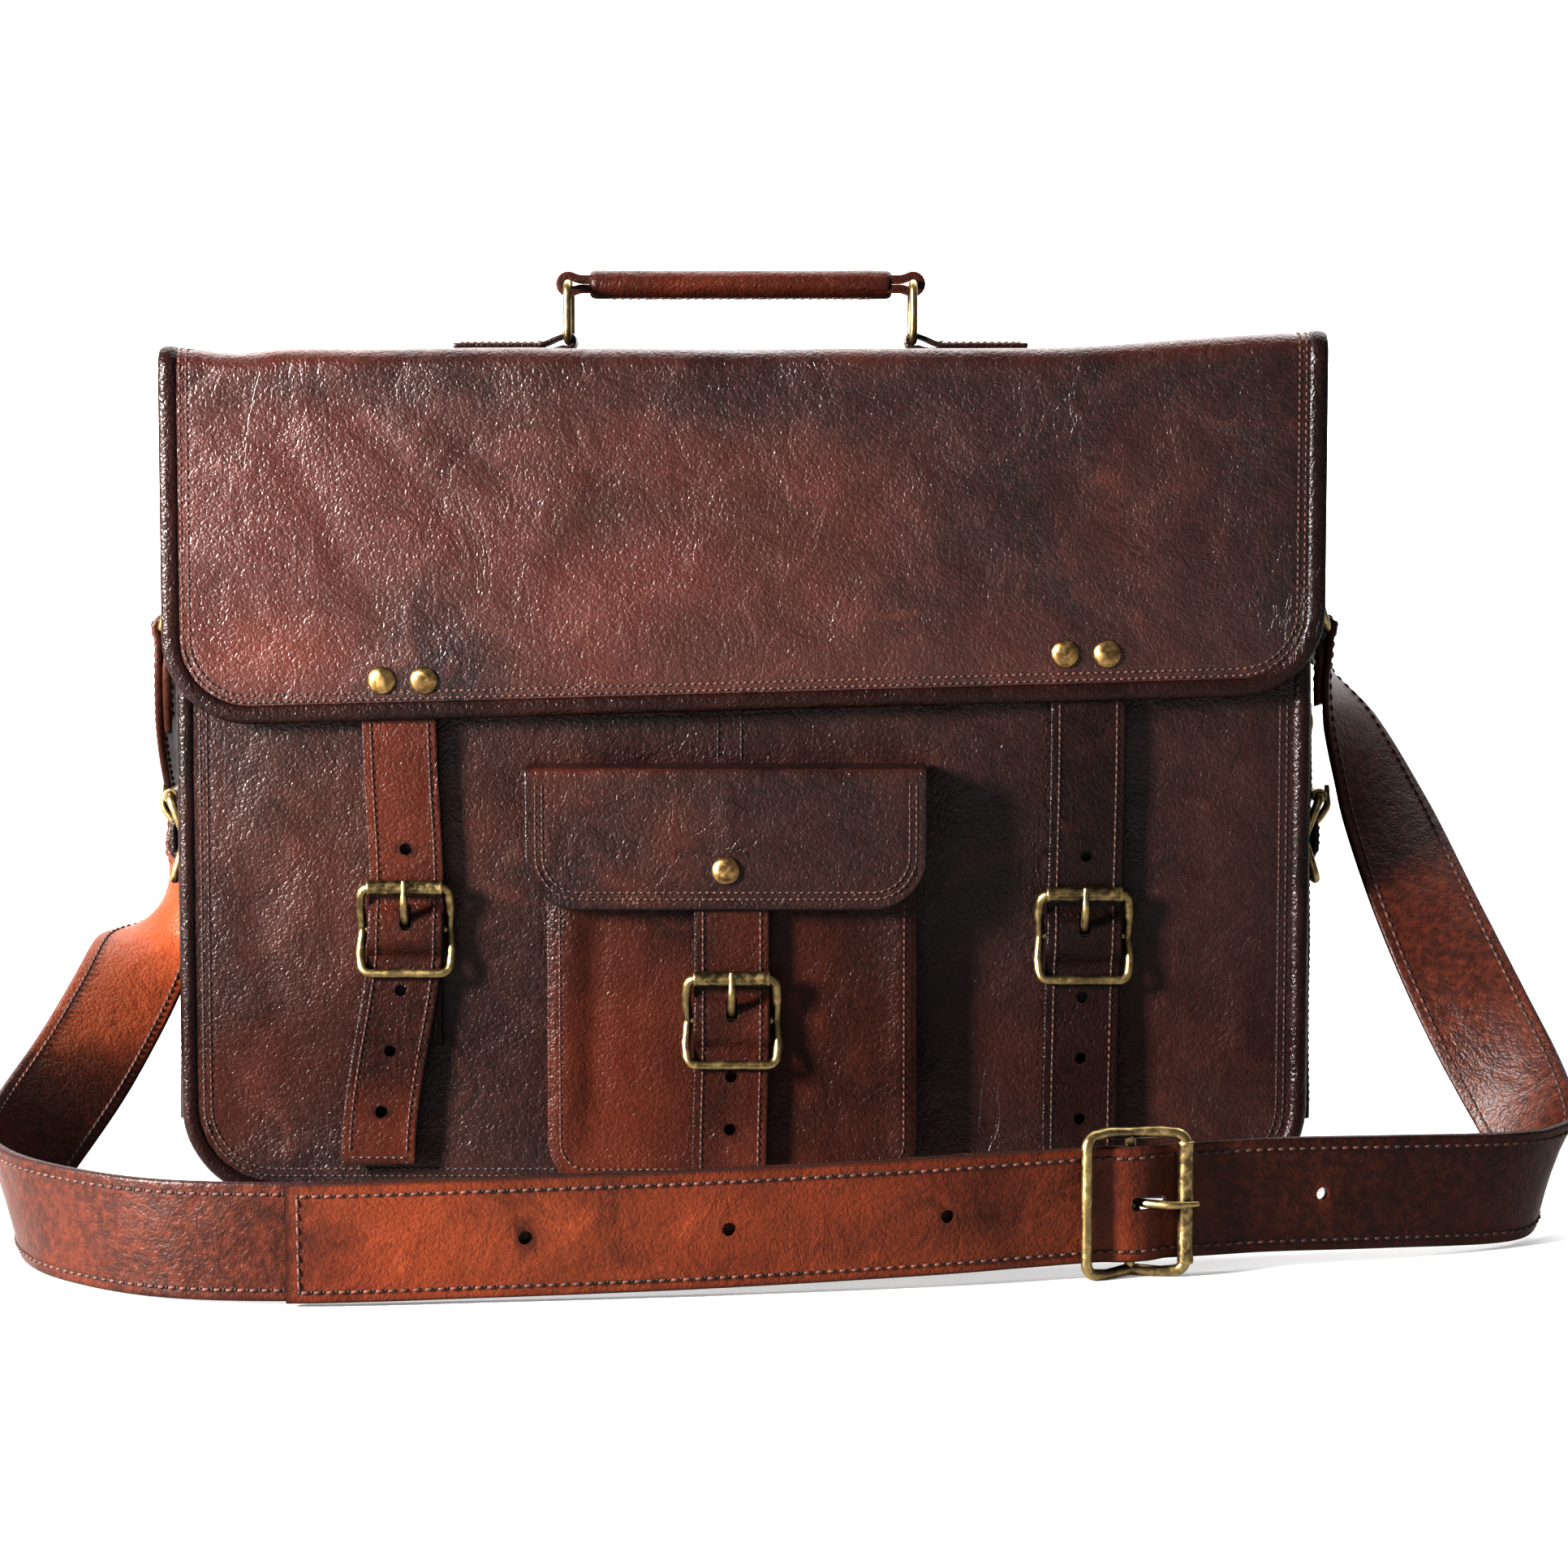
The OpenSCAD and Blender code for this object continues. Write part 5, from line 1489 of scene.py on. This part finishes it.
pf_n = oriented(pflap_f, -1.0)
check_up(pf_n, 0, 5, (0, 0, 1))
check_up(pocket_n, 0, 70, (0, -1, 0))
xs = columns(QX0, QX1, 19.0, 3.0, near=(0, 0.6, 1.4, 2.4, 3.6, 4.8, 6.0, 7.2, 9))
low = outline_low(xs, QX0, QX1, PFLAP_LOW, PFLAP_LOW, PFLAP_R)
s_end = T2 + (PT - PB - low)
rows = [np.full_like(xs, s) for s in np.concatenate([np.linspace(0, T1 - 1, 8), np.linspace(T1, T2 + 1, 9)])]
near = (10, 7.2, 6.0, 4.8, 3.6, 2.4, 1.4, 0.6, 0)
for k in range(1, 13):
    rows.append((T2 + 1) + (s_end - near[0] - T2 - 1) * k / 12)
for d in near[1:]:
    rows.append(s_end - d)
V = np.array(rows)
U = np.broadcast_to(xs[None, :], V.shape)
tone = (0.35 * fbm(U * 0.025, V * 0.03, 1, 93) - 0.2 + 0.3 * np.exp(-(((U + 30) / 30) ** 2))
        + 0.35 * bump(V, T1 + 2, 2.0))
e = np.minimum(np.minimum(U - QX0, QX1 - U), s_end[None, :] - V)
pfl = slab("pocket_flap_sheet", pflap_f(U, V), pf_n(U, V), 2.1, "front", tone=np.clip(tone, -1, 1),
           rim=0.8 * smooth(2.4, 0.2, e))
path = u_path(QX0, QX1, PT - PB - 3, PFLAP_LOW, PFLAP_LOW, PFLAP_R, 2.0)
uv = np.array([(p[0], T2 + (PT - PB - p[1])) for p in path])[::-1]
bits = [pfl]
bits += edge_seams("pf", pflap_f, pf_n, uv, (3.6, 6.0), 2.55, 0.38, "thread")
POCKET_FLAP = ("bag", "pocket_flap", (0, -59.2, 158), (0, -66, 158))
attach(join(bits, "pocket_flap_leather"), POCKET_FLAP, ("pocket_flap",))
s = T2 + PT - PB - 122
p = pflap_f(np.array([-6.0]), np.array([s]))[0]
attach(rivet("pocket_rivet_cap", p - np.array([0, -0.1, 0]), (0, -1, 0)), ("pocket_flap",),
       ("pocket_rivet",))


# ------------------------------------------------------------------ side tabs, anchors, rings
bits, riv = [], []
for s in (-1, 1):
    ctr = np.array([s * 208.5, 0, 222.0])
    t = 1.6
    x_in, x_out = s * (SIDE_X + t / 2), s * (SIDE_X + 1.5 * t)
    loop = [(x_in, z) for z in np.linspace(266, 229, 13)]
    loop += [(ctr[0] - s * 2.5 * math.cos(math.radians(q)),
              222 - 2.5 * math.sin(math.radians(q))) for q in np.arange(-20, 211, 15)]
    loop += [(x_out + s * 0.15, z) for z in np.linspace(229.5, 266, 13)]
    P = resample([(x, 0, z) for x, z in loop], 1.4)
    ob, *_ = strip_mesh("tab", P, (0, 1, 0), 36, t, "brown", rim_w=0.9, tone=lambda L, u,
                        P: -0.35 + 0.3 * fbm(P[..., 1] * 0.05, P[..., 2] * 0.05, 0, 5))
    bits.append(ob)
    n = np.array([s * 1.0, 0, 0])
    face = s * (SIDE_X + 2 * t + 0.2)
    line = resample([(face, -15, 232), (face, -15, 263), (face, 15, 263), (face, 15, 232)], 1.5)
    bits += stitches("ts", line, n, pitch=2.7, r=0.4, mat="thread")
    for y in (-9, 9):
        riv.append(rivet("sr", (s * (SIDE_X + 2 * t + 0.2), y, 252), (s, 0, 0)))
    riv.append(rivet("sr", (s * 209.75, 0, 169), (s, 0, 0)))
    # anchor block for the side strap
    P = resample([(s * (SIDE_X + 1.6), 0, 166), (s * (SIDE_X + 1.6), 0, 177)], 1.5)
    ob, *_ = strip_mesh("anchor", P, (0, 1, 0), 27, 3.1, "dark", rim_w=1.0)
    attach(ob, BAG)
    ob.name = "side_anchor_" + ("left" if s < 0 else "right")
    if s > 0:
        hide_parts("side_anchors")
attach(join(bits, "side_ring_tabs"), BAG, ("side_tabs",))
attach(join(riv, "side_rivet_caps"), BAG, ("side_rivets",))

for s, nm in ((-1, "left"), (1, "right")):
    top = np.array([s * 208.5, 0, 222.0])
    bot = np.array([s * 214.0, 0, 204.86])
    h = 22.0
    mid = (top + bot) / 2
    pts = [top + (0, -h, 0), top + (0, h, 0), mid + (0, h + 1.0, 0), bot + (0, h, 0), bot + (0, -h, 0),
           mid + (0, -h - 1.0, 0)]
    ring = wire_loop(pts, 3.6, 7, 1.0)
    attach(tube("side_ring_" + nm + "_wire", ring, 1.6, "brass", closed=True, sides=16), ("side_ring_" + nm,),
           ("side_ring_" + nm,))


# ------------------------------------------------------------------ handle
HANDLE_BAR_Z = 310.25    # the rings' lower bars, in the tabs
GRIP_Z = 331.25          # the rings' upper bars, in the grip's loops
for x, nm in ((-65.0, "left"), (62.0, "right")):
    h = 12.5
    pts = [(x, -h, HANDLE_BAR_Z), (x, h, HANDLE_BAR_Z), (x, h + 0.5, 320.7), (x, h, GRIP_Z), (x, -h, GRIP_Z),
           (x, -h - 0.5, 320.7)]
    ring = wire_loop(pts, 4.2, 8, 0.9)
    attach(tube("handle_ring_" + nm, ring, 1.5, "brass", closed=True, sides=16), ("ring_" + nm,),
           ("ring_" + nm,))

bits = []
for x, d in ((-65.0, -1), (62.0, 1)):
    t = 1.7
    loop = [(x + d * q, 307.0) for q in np.linspace(42, 5, 14)]
    r = 1.58 + t / 2
    loop += [(x + d * r * math.cos(math.radians(q)),
              HANDLE_BAR_Z + r * math.sin(math.radians(q))) for q in np.arange(-60, -301, -15)]
    loop += [(x + d * 4.5, 311.2), (x + d * 8, 309.6)]
    loop += [(x + d * q, 308.75) for q in np.linspace(11, 42, 12)]
    P = resample([(a, 0, b) for a, b in loop], 1.3)
    ob, *_ = strip_mesh("htab", P, (0, 1, 0), 20, t, "brown", rim_w=0.02, tone=lambda L, u,
                        P: 0.7 + 0.5 * fbm(P[..., 0] * 0.05, P[..., 1] * 0.05, 0, 5))
    bits.append(ob)
    top = 308.75 + t / 2 + 0.06
    line = resample([(x + d * 9.5, -7.2, top + 0.55), (x + d * 12, -7.2, top), (x + d * 39.3, -7.2, top),
                     (x + d * 39.3, 7.2, top), (x + d * 12, 7.2, top), (x + d * 9.5, 7.2, top + 0.55)], 1.4)
    bits += stitches("hs", line, (0, 0, 1.0), pitch=2.6, r=0.4, mat="thread")
attach(join(bits, "handle_tabs_leather"), ("flap",), ("handle_tabs",))

# grip: leather sewn round a cord, slightly flattened, seam underneath
gx = np.concatenate([np.linspace(-57.2, -54, 6), np.linspace(-51, 48, 60), np.linspace(51, 54.2, 6)])
sides = 32
verts, rim = [], []
for i, x in enumerate(gx):
    endk = min(x + 57.2, 54.2 - x)
    sc = math.sqrt(max(0.0, 1 - (1 - min(1.0, endk / 2.6)) ** 2)) * 0.25 + 0.75
    for k in range(sides):
        a = 2 * math.pi * k / sides
        ry, rz = 5.9 * sc, 5.15 * sc
        n = 0.12 * float(vnoise(x * 0.09, math.cos(a) * 1.3, math.sin(a) * 1.3,
                                3)) + 0.08 * float(vnoise(x * 0.35, math.cos(a) * 3, math.sin(a) * 3, 7))
        g = 0.28 * (math.exp(-((k - 24) / 1.1) ** 2)) - 0.30 * (math.exp(-((k - 22) / 0.8) ** 2)
                                                                + math.exp(-((k - 26) / 0.8) ** 2))
        verts.append((x, math.cos(a) * (ry + n + g), GRIP_Z + math.sin(a) * (rz + n + g)))
        rim.append(0.8 if endk < 1.2 else 0.0)
faces = grid_faces(len(gx), sides, wrap=True)
for end, i in ((0, 0), (1, len(gx) - 1)):
    c = len(verts)
    verts.append((gx[i], 0, GRIP_Z))
    rim.append(0.8)
    for k in range(sides):
        a, b = i * sides + k, i * sides + (k + 1) % sides
        faces.append((c, b, a) if end else (c, a, b))
tn = [0.45 * float(vnoise(v[0] * 0.04, v[1] * 0.1, v[2] * 0.1, 2)) + 0.4 for v in verts]
grip = fix_normals(new_object("grip_sleeve", verts, faces, "rust", attrs={"rim": rim, "tone": tn}))
bits = [grip]
for yy in (-1.9, 1.9):
    line = np.stack([np.linspace(-50, 47, 80), np.full(80, yy), np.full(80, GRIP_Z - 5.0)], 1)
    bits += stitches("gs", line, (0, 0, -1.0), pitch=3.0, r=0.4, mat="thread")
attach(join(bits, "grip_leather"), ("grip",), ("grip_wrap", "grip_core"))
bits = []
for s in (-1, 1):
    cx = -1.5 + s * 63.5
    t = 3.0
    r = 1.56 + t / 2
    loop = [(cx - s * q, GRIP_Z - 1.75) for q in np.linspace(14, 4.2, 6)]
    loop += [(cx + s * r * math.cos(math.radians(q)),
              GRIP_Z + r * math.sin(math.radians(q))) for q in np.arange(-125, 126, 12.5)]
    loop += [(cx - s * q, GRIP_Z + 1.75) for q in np.linspace(4.2, 14, 6)]
    P = resample([(a, 0, b) for a, b in loop], 1.0)
    ob, *_ = strip_mesh("gl", P, (0, 1, 0), 9.4, t, "tan", rim_w=0.1, tone=lambda L, u, P: 0.3 + 0 * u)
    bits.append(ob)
attach(join(bits, "grip_end_loops"), ("grip",), ("grip_loops",))


# ------------------------------------------------------------------ shoulder strap
# x, y, z in mm, then the turn of the width from upright towards y, then its lean towards x
END_RIGHT = [(215.75, 0, 202.2, 1, 0), (217.4, -1, 187.9, 1, 0.15), (225.5, -5, 169.5, .95, 0.7),
             (233, -13, 150.5, .8, 1.0)]
RIGHT_FALL = [(239, -25, 132.5, .62, 1.1), (248, -47, 105, .42, 0.95), (260, -73, 73, .2, 0.75),
              (272, -95, 45, .05, 0.55),
              (277, -113, 28.5, 0, 0.42), (274, -128, 22, 0, 0.28)]
FRONT_LINE = [(258, -144, 21, 0, .12), (218, -162, 23, 0, .03), (176, -176.8, 24.8, 0, 0),
              (152, -183.4, 24.8, 0, 0),
              (128, -190, 24.8, 0, 0), (94, -199.4, 24.2, 0, 0), (60, -208.7, 23.5, 0, 0),
              (-10, -221.5, 22, 0, 0),
              (-80, -230.5, 21, 0, 0), (-143, -236, 20.3, 0, 0)]
LEFT_RISE = [(-190, -226, 19.8, 0, -.03), (-228, -196, 19.8, 0, -.1), (-247, -163, 20.6, 0, -.25),
             (-252, -130, 24, 0, -.5),
             (-248, -100, 32, 0, -.9), (-239, -62, 48, .1, -1.3), (-231.5, -20, 67, .3, -1.2),
             (-226.5, 10, 83, .6, -.7),
             (-222, 25, 95, .83, -.3)]
END_LEFT = [(-219.6, 37.5, 108.9, .95, 0), (-218.6, 43.5, 127.9, 1, 0), (-218.2, 37, 148.9, 1, 0),
            (-217.4, 16, 168.9, 1, 0),
            (-216.2, 2, 187.9, 1, 0), (-215.75, 0, 201.7, 1, 0)]


def spline(st, n=10):
    st = np.asarray(st, float)
    out = []
    for i in range(len(st) - 1):
        p0 = st[max(i - 1, 0)]
        p1, p2 = st[i], st[i + 1]
        p3 = st[min(i + 2, len(st) - 1)]
        for k in range(n):
            u = k / n
            out.append(catmull(p0, p1, p2, p3, u))
    out.append(st[-1])
    return np.array(out)


def ribbon(p, shift):
    """Path and width vectors of the shoulder strap, moved sideways by shift."""
    tan = tangents(p[:, :3])
    a = p[:, 3] * math.pi / 2
    W = np.stack([p[:, 4], np.sin(a), np.cos(a)], 1)
    W = W - tan * np.sum(W * tan, 1, keepdims=True)
    W /= np.linalg.norm(W, axis=1, keepdims=True)
    S = np.cross(tan, W)
    return p[:, :3] + S * shift[:, None], W


def sling_tone(bias, left):
    def f(L, u, P):
        x = P[..., 0]
        t = 0.4 * fbm(x * 0.012, P[..., 2] * 0.03, P[..., 1] * 0.012, 101)
        t = (t + 0.35 * bump(x, -30, 110)
             - (0.6 if left else 1.0) * smooth(110, 215, np.abs(x)) * (x * (1 - 2 * left) > 0))
        if left:
            t = t + 1.7 * smooth(38, 60, P[..., 2])
        return np.clip(t + bias, -1, 1)
    return f


def sling_gap(p):
    return np.hypot(p[:, 0] - 128, p[:, 1] + 190)


WHOLE = spline(END_RIGHT + RIGHT_FALL + FRONT_LINE + LEFT_RISE + END_LEFT, 10)
N_TIP = 10 * (len(END_RIGHT) + len(RIGHT_FALL) + len(FRONT_LINE) - 1)
N_START = 10 * (len(END_RIGHT) + len(RIGHT_FALL) + 5) + 7
N_LEFT = 10 * (len(END_RIGHT) + len(RIGHT_FALL) + len(FRONT_LINE) + len(LEFT_RISE) - 1)
IDX = np.arange(len(WHOLE))
FRONT_SHIFT = -1.85 * smooth(10, 60, IDX) - 3.5 * np.clip((11 - sling_gap(WHOLE)) / 7, 0, 1)
BACK_SHIFT = 1.95 * (1 - smooth(N_LEFT - 50, N_LEFT, IDX))


def sling_half(name, P, W, s, tone, far, nodes, tip=False):
    """One half of the shoulder strap, from the fold over its side ring to its free end."""
    # fold over the ring's lower bar, the inner layer lying behind the outer one
    cx, cz, r = s * 214.0, 204.86, 3.15
    arc = [(cx + s * r * math.cos(math.radians(q)),
            cz + r * math.sin(math.radians(q))) for q in np.arange(200, 0, -12)]
    tail = []
    for q in np.linspace(28, 3.5, 12):
        k = int(np.argmin(np.abs(P[:40, 2] - (cz - q))))
        tail.append((P[k] - np.array([s * (3.1 + 2.0 * smooth(12, 3, q)), 0, 0]), W[k]))
    head = [(np.array([a, 0.0, b]), np.array([0, 1.0, 0])) for a, b in arc]
    rows = tail + head + [(P[k], W[k]) for k in range(1, len(P))]
    allp = resample(np.array([np.concatenate([a, b]) for a, b in rows]), 2.1)
    PP, WW = allp[:, :3], allp[:, 3:]
    ob, L, N, WN = strip_mesh(name, PP, WW, 38, 2.9, "tan", tone=tone, rim_w=1.0)
    if tip:
        cut = []
        for hx, hy in ((192, -171.5), (66, -207.1), (-3, -220.4), (-67, -229)):
            i = int(np.argmin((PP[:, 0] - hx) ** 2 + (PP[:, 1] - hy) ** 2))
            cut.append((PP[i], N[i], 2.2))
        cut.append((SLING_SPOT.pt(0, 3.6, 4.6), SLING_SPOT.eo, 2.2, SLING_SPOT.ez, 9.0))
        punch(ob, cut, depth=14)
    bits = [ob]
    for face in (1, -1):
        for sx in (-1, 1):
            Q = PP + WN * sx * (19 - 3.6) + N * face * (1.45 + 0.02)
            keep = (L > 4) & (L < L[-1] - 3.6)
            bits += stitches("se", Q[keep], (N * face)[keep], pitch=3.9, r=0.52, mat="thread")
        if tip:
            k = int(np.argmin(np.abs(L - (L[-1] - 3.6))))
            Q = np.array([PP[k] + WN[k] * w + N[k] * face * 1.47 for w in np.linspace(-15.4, 15.4, 17)])
            bits += stitches("se", Q, N[k] * face, pitch=3.9, r=0.52, mat="thread")
    attach(join(bits, name), ("bag", "sling", (0, 0, 199), far), nodes)


P, W = ribbon(WHOLE, FRONT_SHIFT)
sling_half("sling_holed_leather", P[: N_TIP + 1], W[: N_TIP + 1], 1, sling_tone(0.05, 0), (0, -10, 150),
           ("sling_end_right", "sling_holed"), tip=True)
P, W = ribbon(WHOLE, BACK_SHIFT)
sling_half("sling_buckled_leather", P[N_START:][::-1], W[N_START:][::-1], -1, sling_tone(-0.35, 1),
           (0, 10, 120),
           ("sling_end_left", "sling_buckled"))

ch = chape("sling_chape_leather", SLING_SPOT, 36, SLING_WIRE, CHAPE_T, 60, "tan", lambda L, u, P: 0.1 + 0 * u)
attach(ch, ("sling",), ("sling_chape",))
buckle("sling_buckle", SLING_SPOT, "sling", ("sling_frame",), h=22.6, reach=SLING_REACH, out_r=SLING_OUT,
       out_k=5.65, wire=SLING_WIRE, corner=4.0)
roller("sling_roller_sleeve", SLING_SPOT, "sling_roller", "sling_roller", 49 - 7.6 - 0.9, SLING_ROLLER_D,
       SLING_REACH, SLING_OUT, SLING_WIRE)
tongue("sling_tongue_wire", SLING_SPOT, "sling_tongue", "sling_tongue", SLING_WIRE, SLING_ROLLER_D,
       SLING_REACH, SLING_OUT)


# ------------------------------------------------------------------ floor, light
def plain(name, color, rough):
    m, _, bsdf = node_tree(name)
    bsdf.inputs["Base Color"].default_value = (*color, 1)
    bsdf.inputs["Roughness"].default_value = rough
    return m


MAT["floor"] = plain("studio_floor", (0.38, 0.38, 0.379), 0.8)
floor_bsdf = MAT["floor"].node_tree.nodes["Principled BSDF"]
floor_bsdf.inputs["Emission Color"].default_value = (1, 1, 1, 1)
floor_bsdf.inputs["Emission Strength"].default_value = 0.22
floor = new_object("studio_floor", [(-6000, -6000, 0), (6000, -6000, 0), (6000, 6000, 0), (-6000, 6000, 0)],
                   [(0, 1, 2, 3)], "floor")
m, _, bsdf = node_tree("studio_backdrop")
bsdf.inputs["Base Color"].default_value = (0.9, 0.9, 0.9, 1)
bsdf.inputs["Emission Color"].default_value = (1, 1, 1, 1)
bsdf.inputs["Emission Strength"].default_value = 1.0
MAT["backdrop"] = m
wall = new_object("studio_backdrop", [(-6000, 2600, 0), (6000, 2600, 0), (6000, 2600, 5000),
                                      (-6000, 2600, 5000)], [(0, 1, 2, 3)], "backdrop")


def area(name, loc, target, size, power, color=(1, 1, 1)):
    data = bpy.data.lights.new(name, "AREA")
    data.shape = "RECTANGLE"
    data.size = size[0]
    data.size_y = size[1]
    data.energy = power
    data.color = color
    ob = bpy.data.objects.new(name, data)
    scene.collection.objects.link(ob)
    ob.location = loc
    ob.rotation_euler = (Vector(target) - Vector(loc)).to_track_quat("-Z", "Y").to_euler()


area("key_light", (-1.25, -0.88, 0.56), (0.0, 0, 0.17), (0.3, 0.4), 165, (1.0, 0.985, 0.96))
area("fill_light", (0.9, -1.9, 0.9), (0, 0, 0.15), (0.9, 0.9), 2)
area("top_light", (0.1, 0.9, 1.9), (0, 0.2, 0.0), (3.2, 2.0), 90)
scene.view_settings.view_transform = "Standard"
scene.view_settings.exposure = 0.45
scene.view_settings.gamma = 0.74
world = bpy.data.worlds.new("studio")
world.use_nodes = True
world.node_tree.nodes["Background"].inputs[0].default_value = (0.97, 0.98, 1.0, 1)
world.node_tree.nodes["Background"].inputs[1].default_value = 0.3
scene.world = world
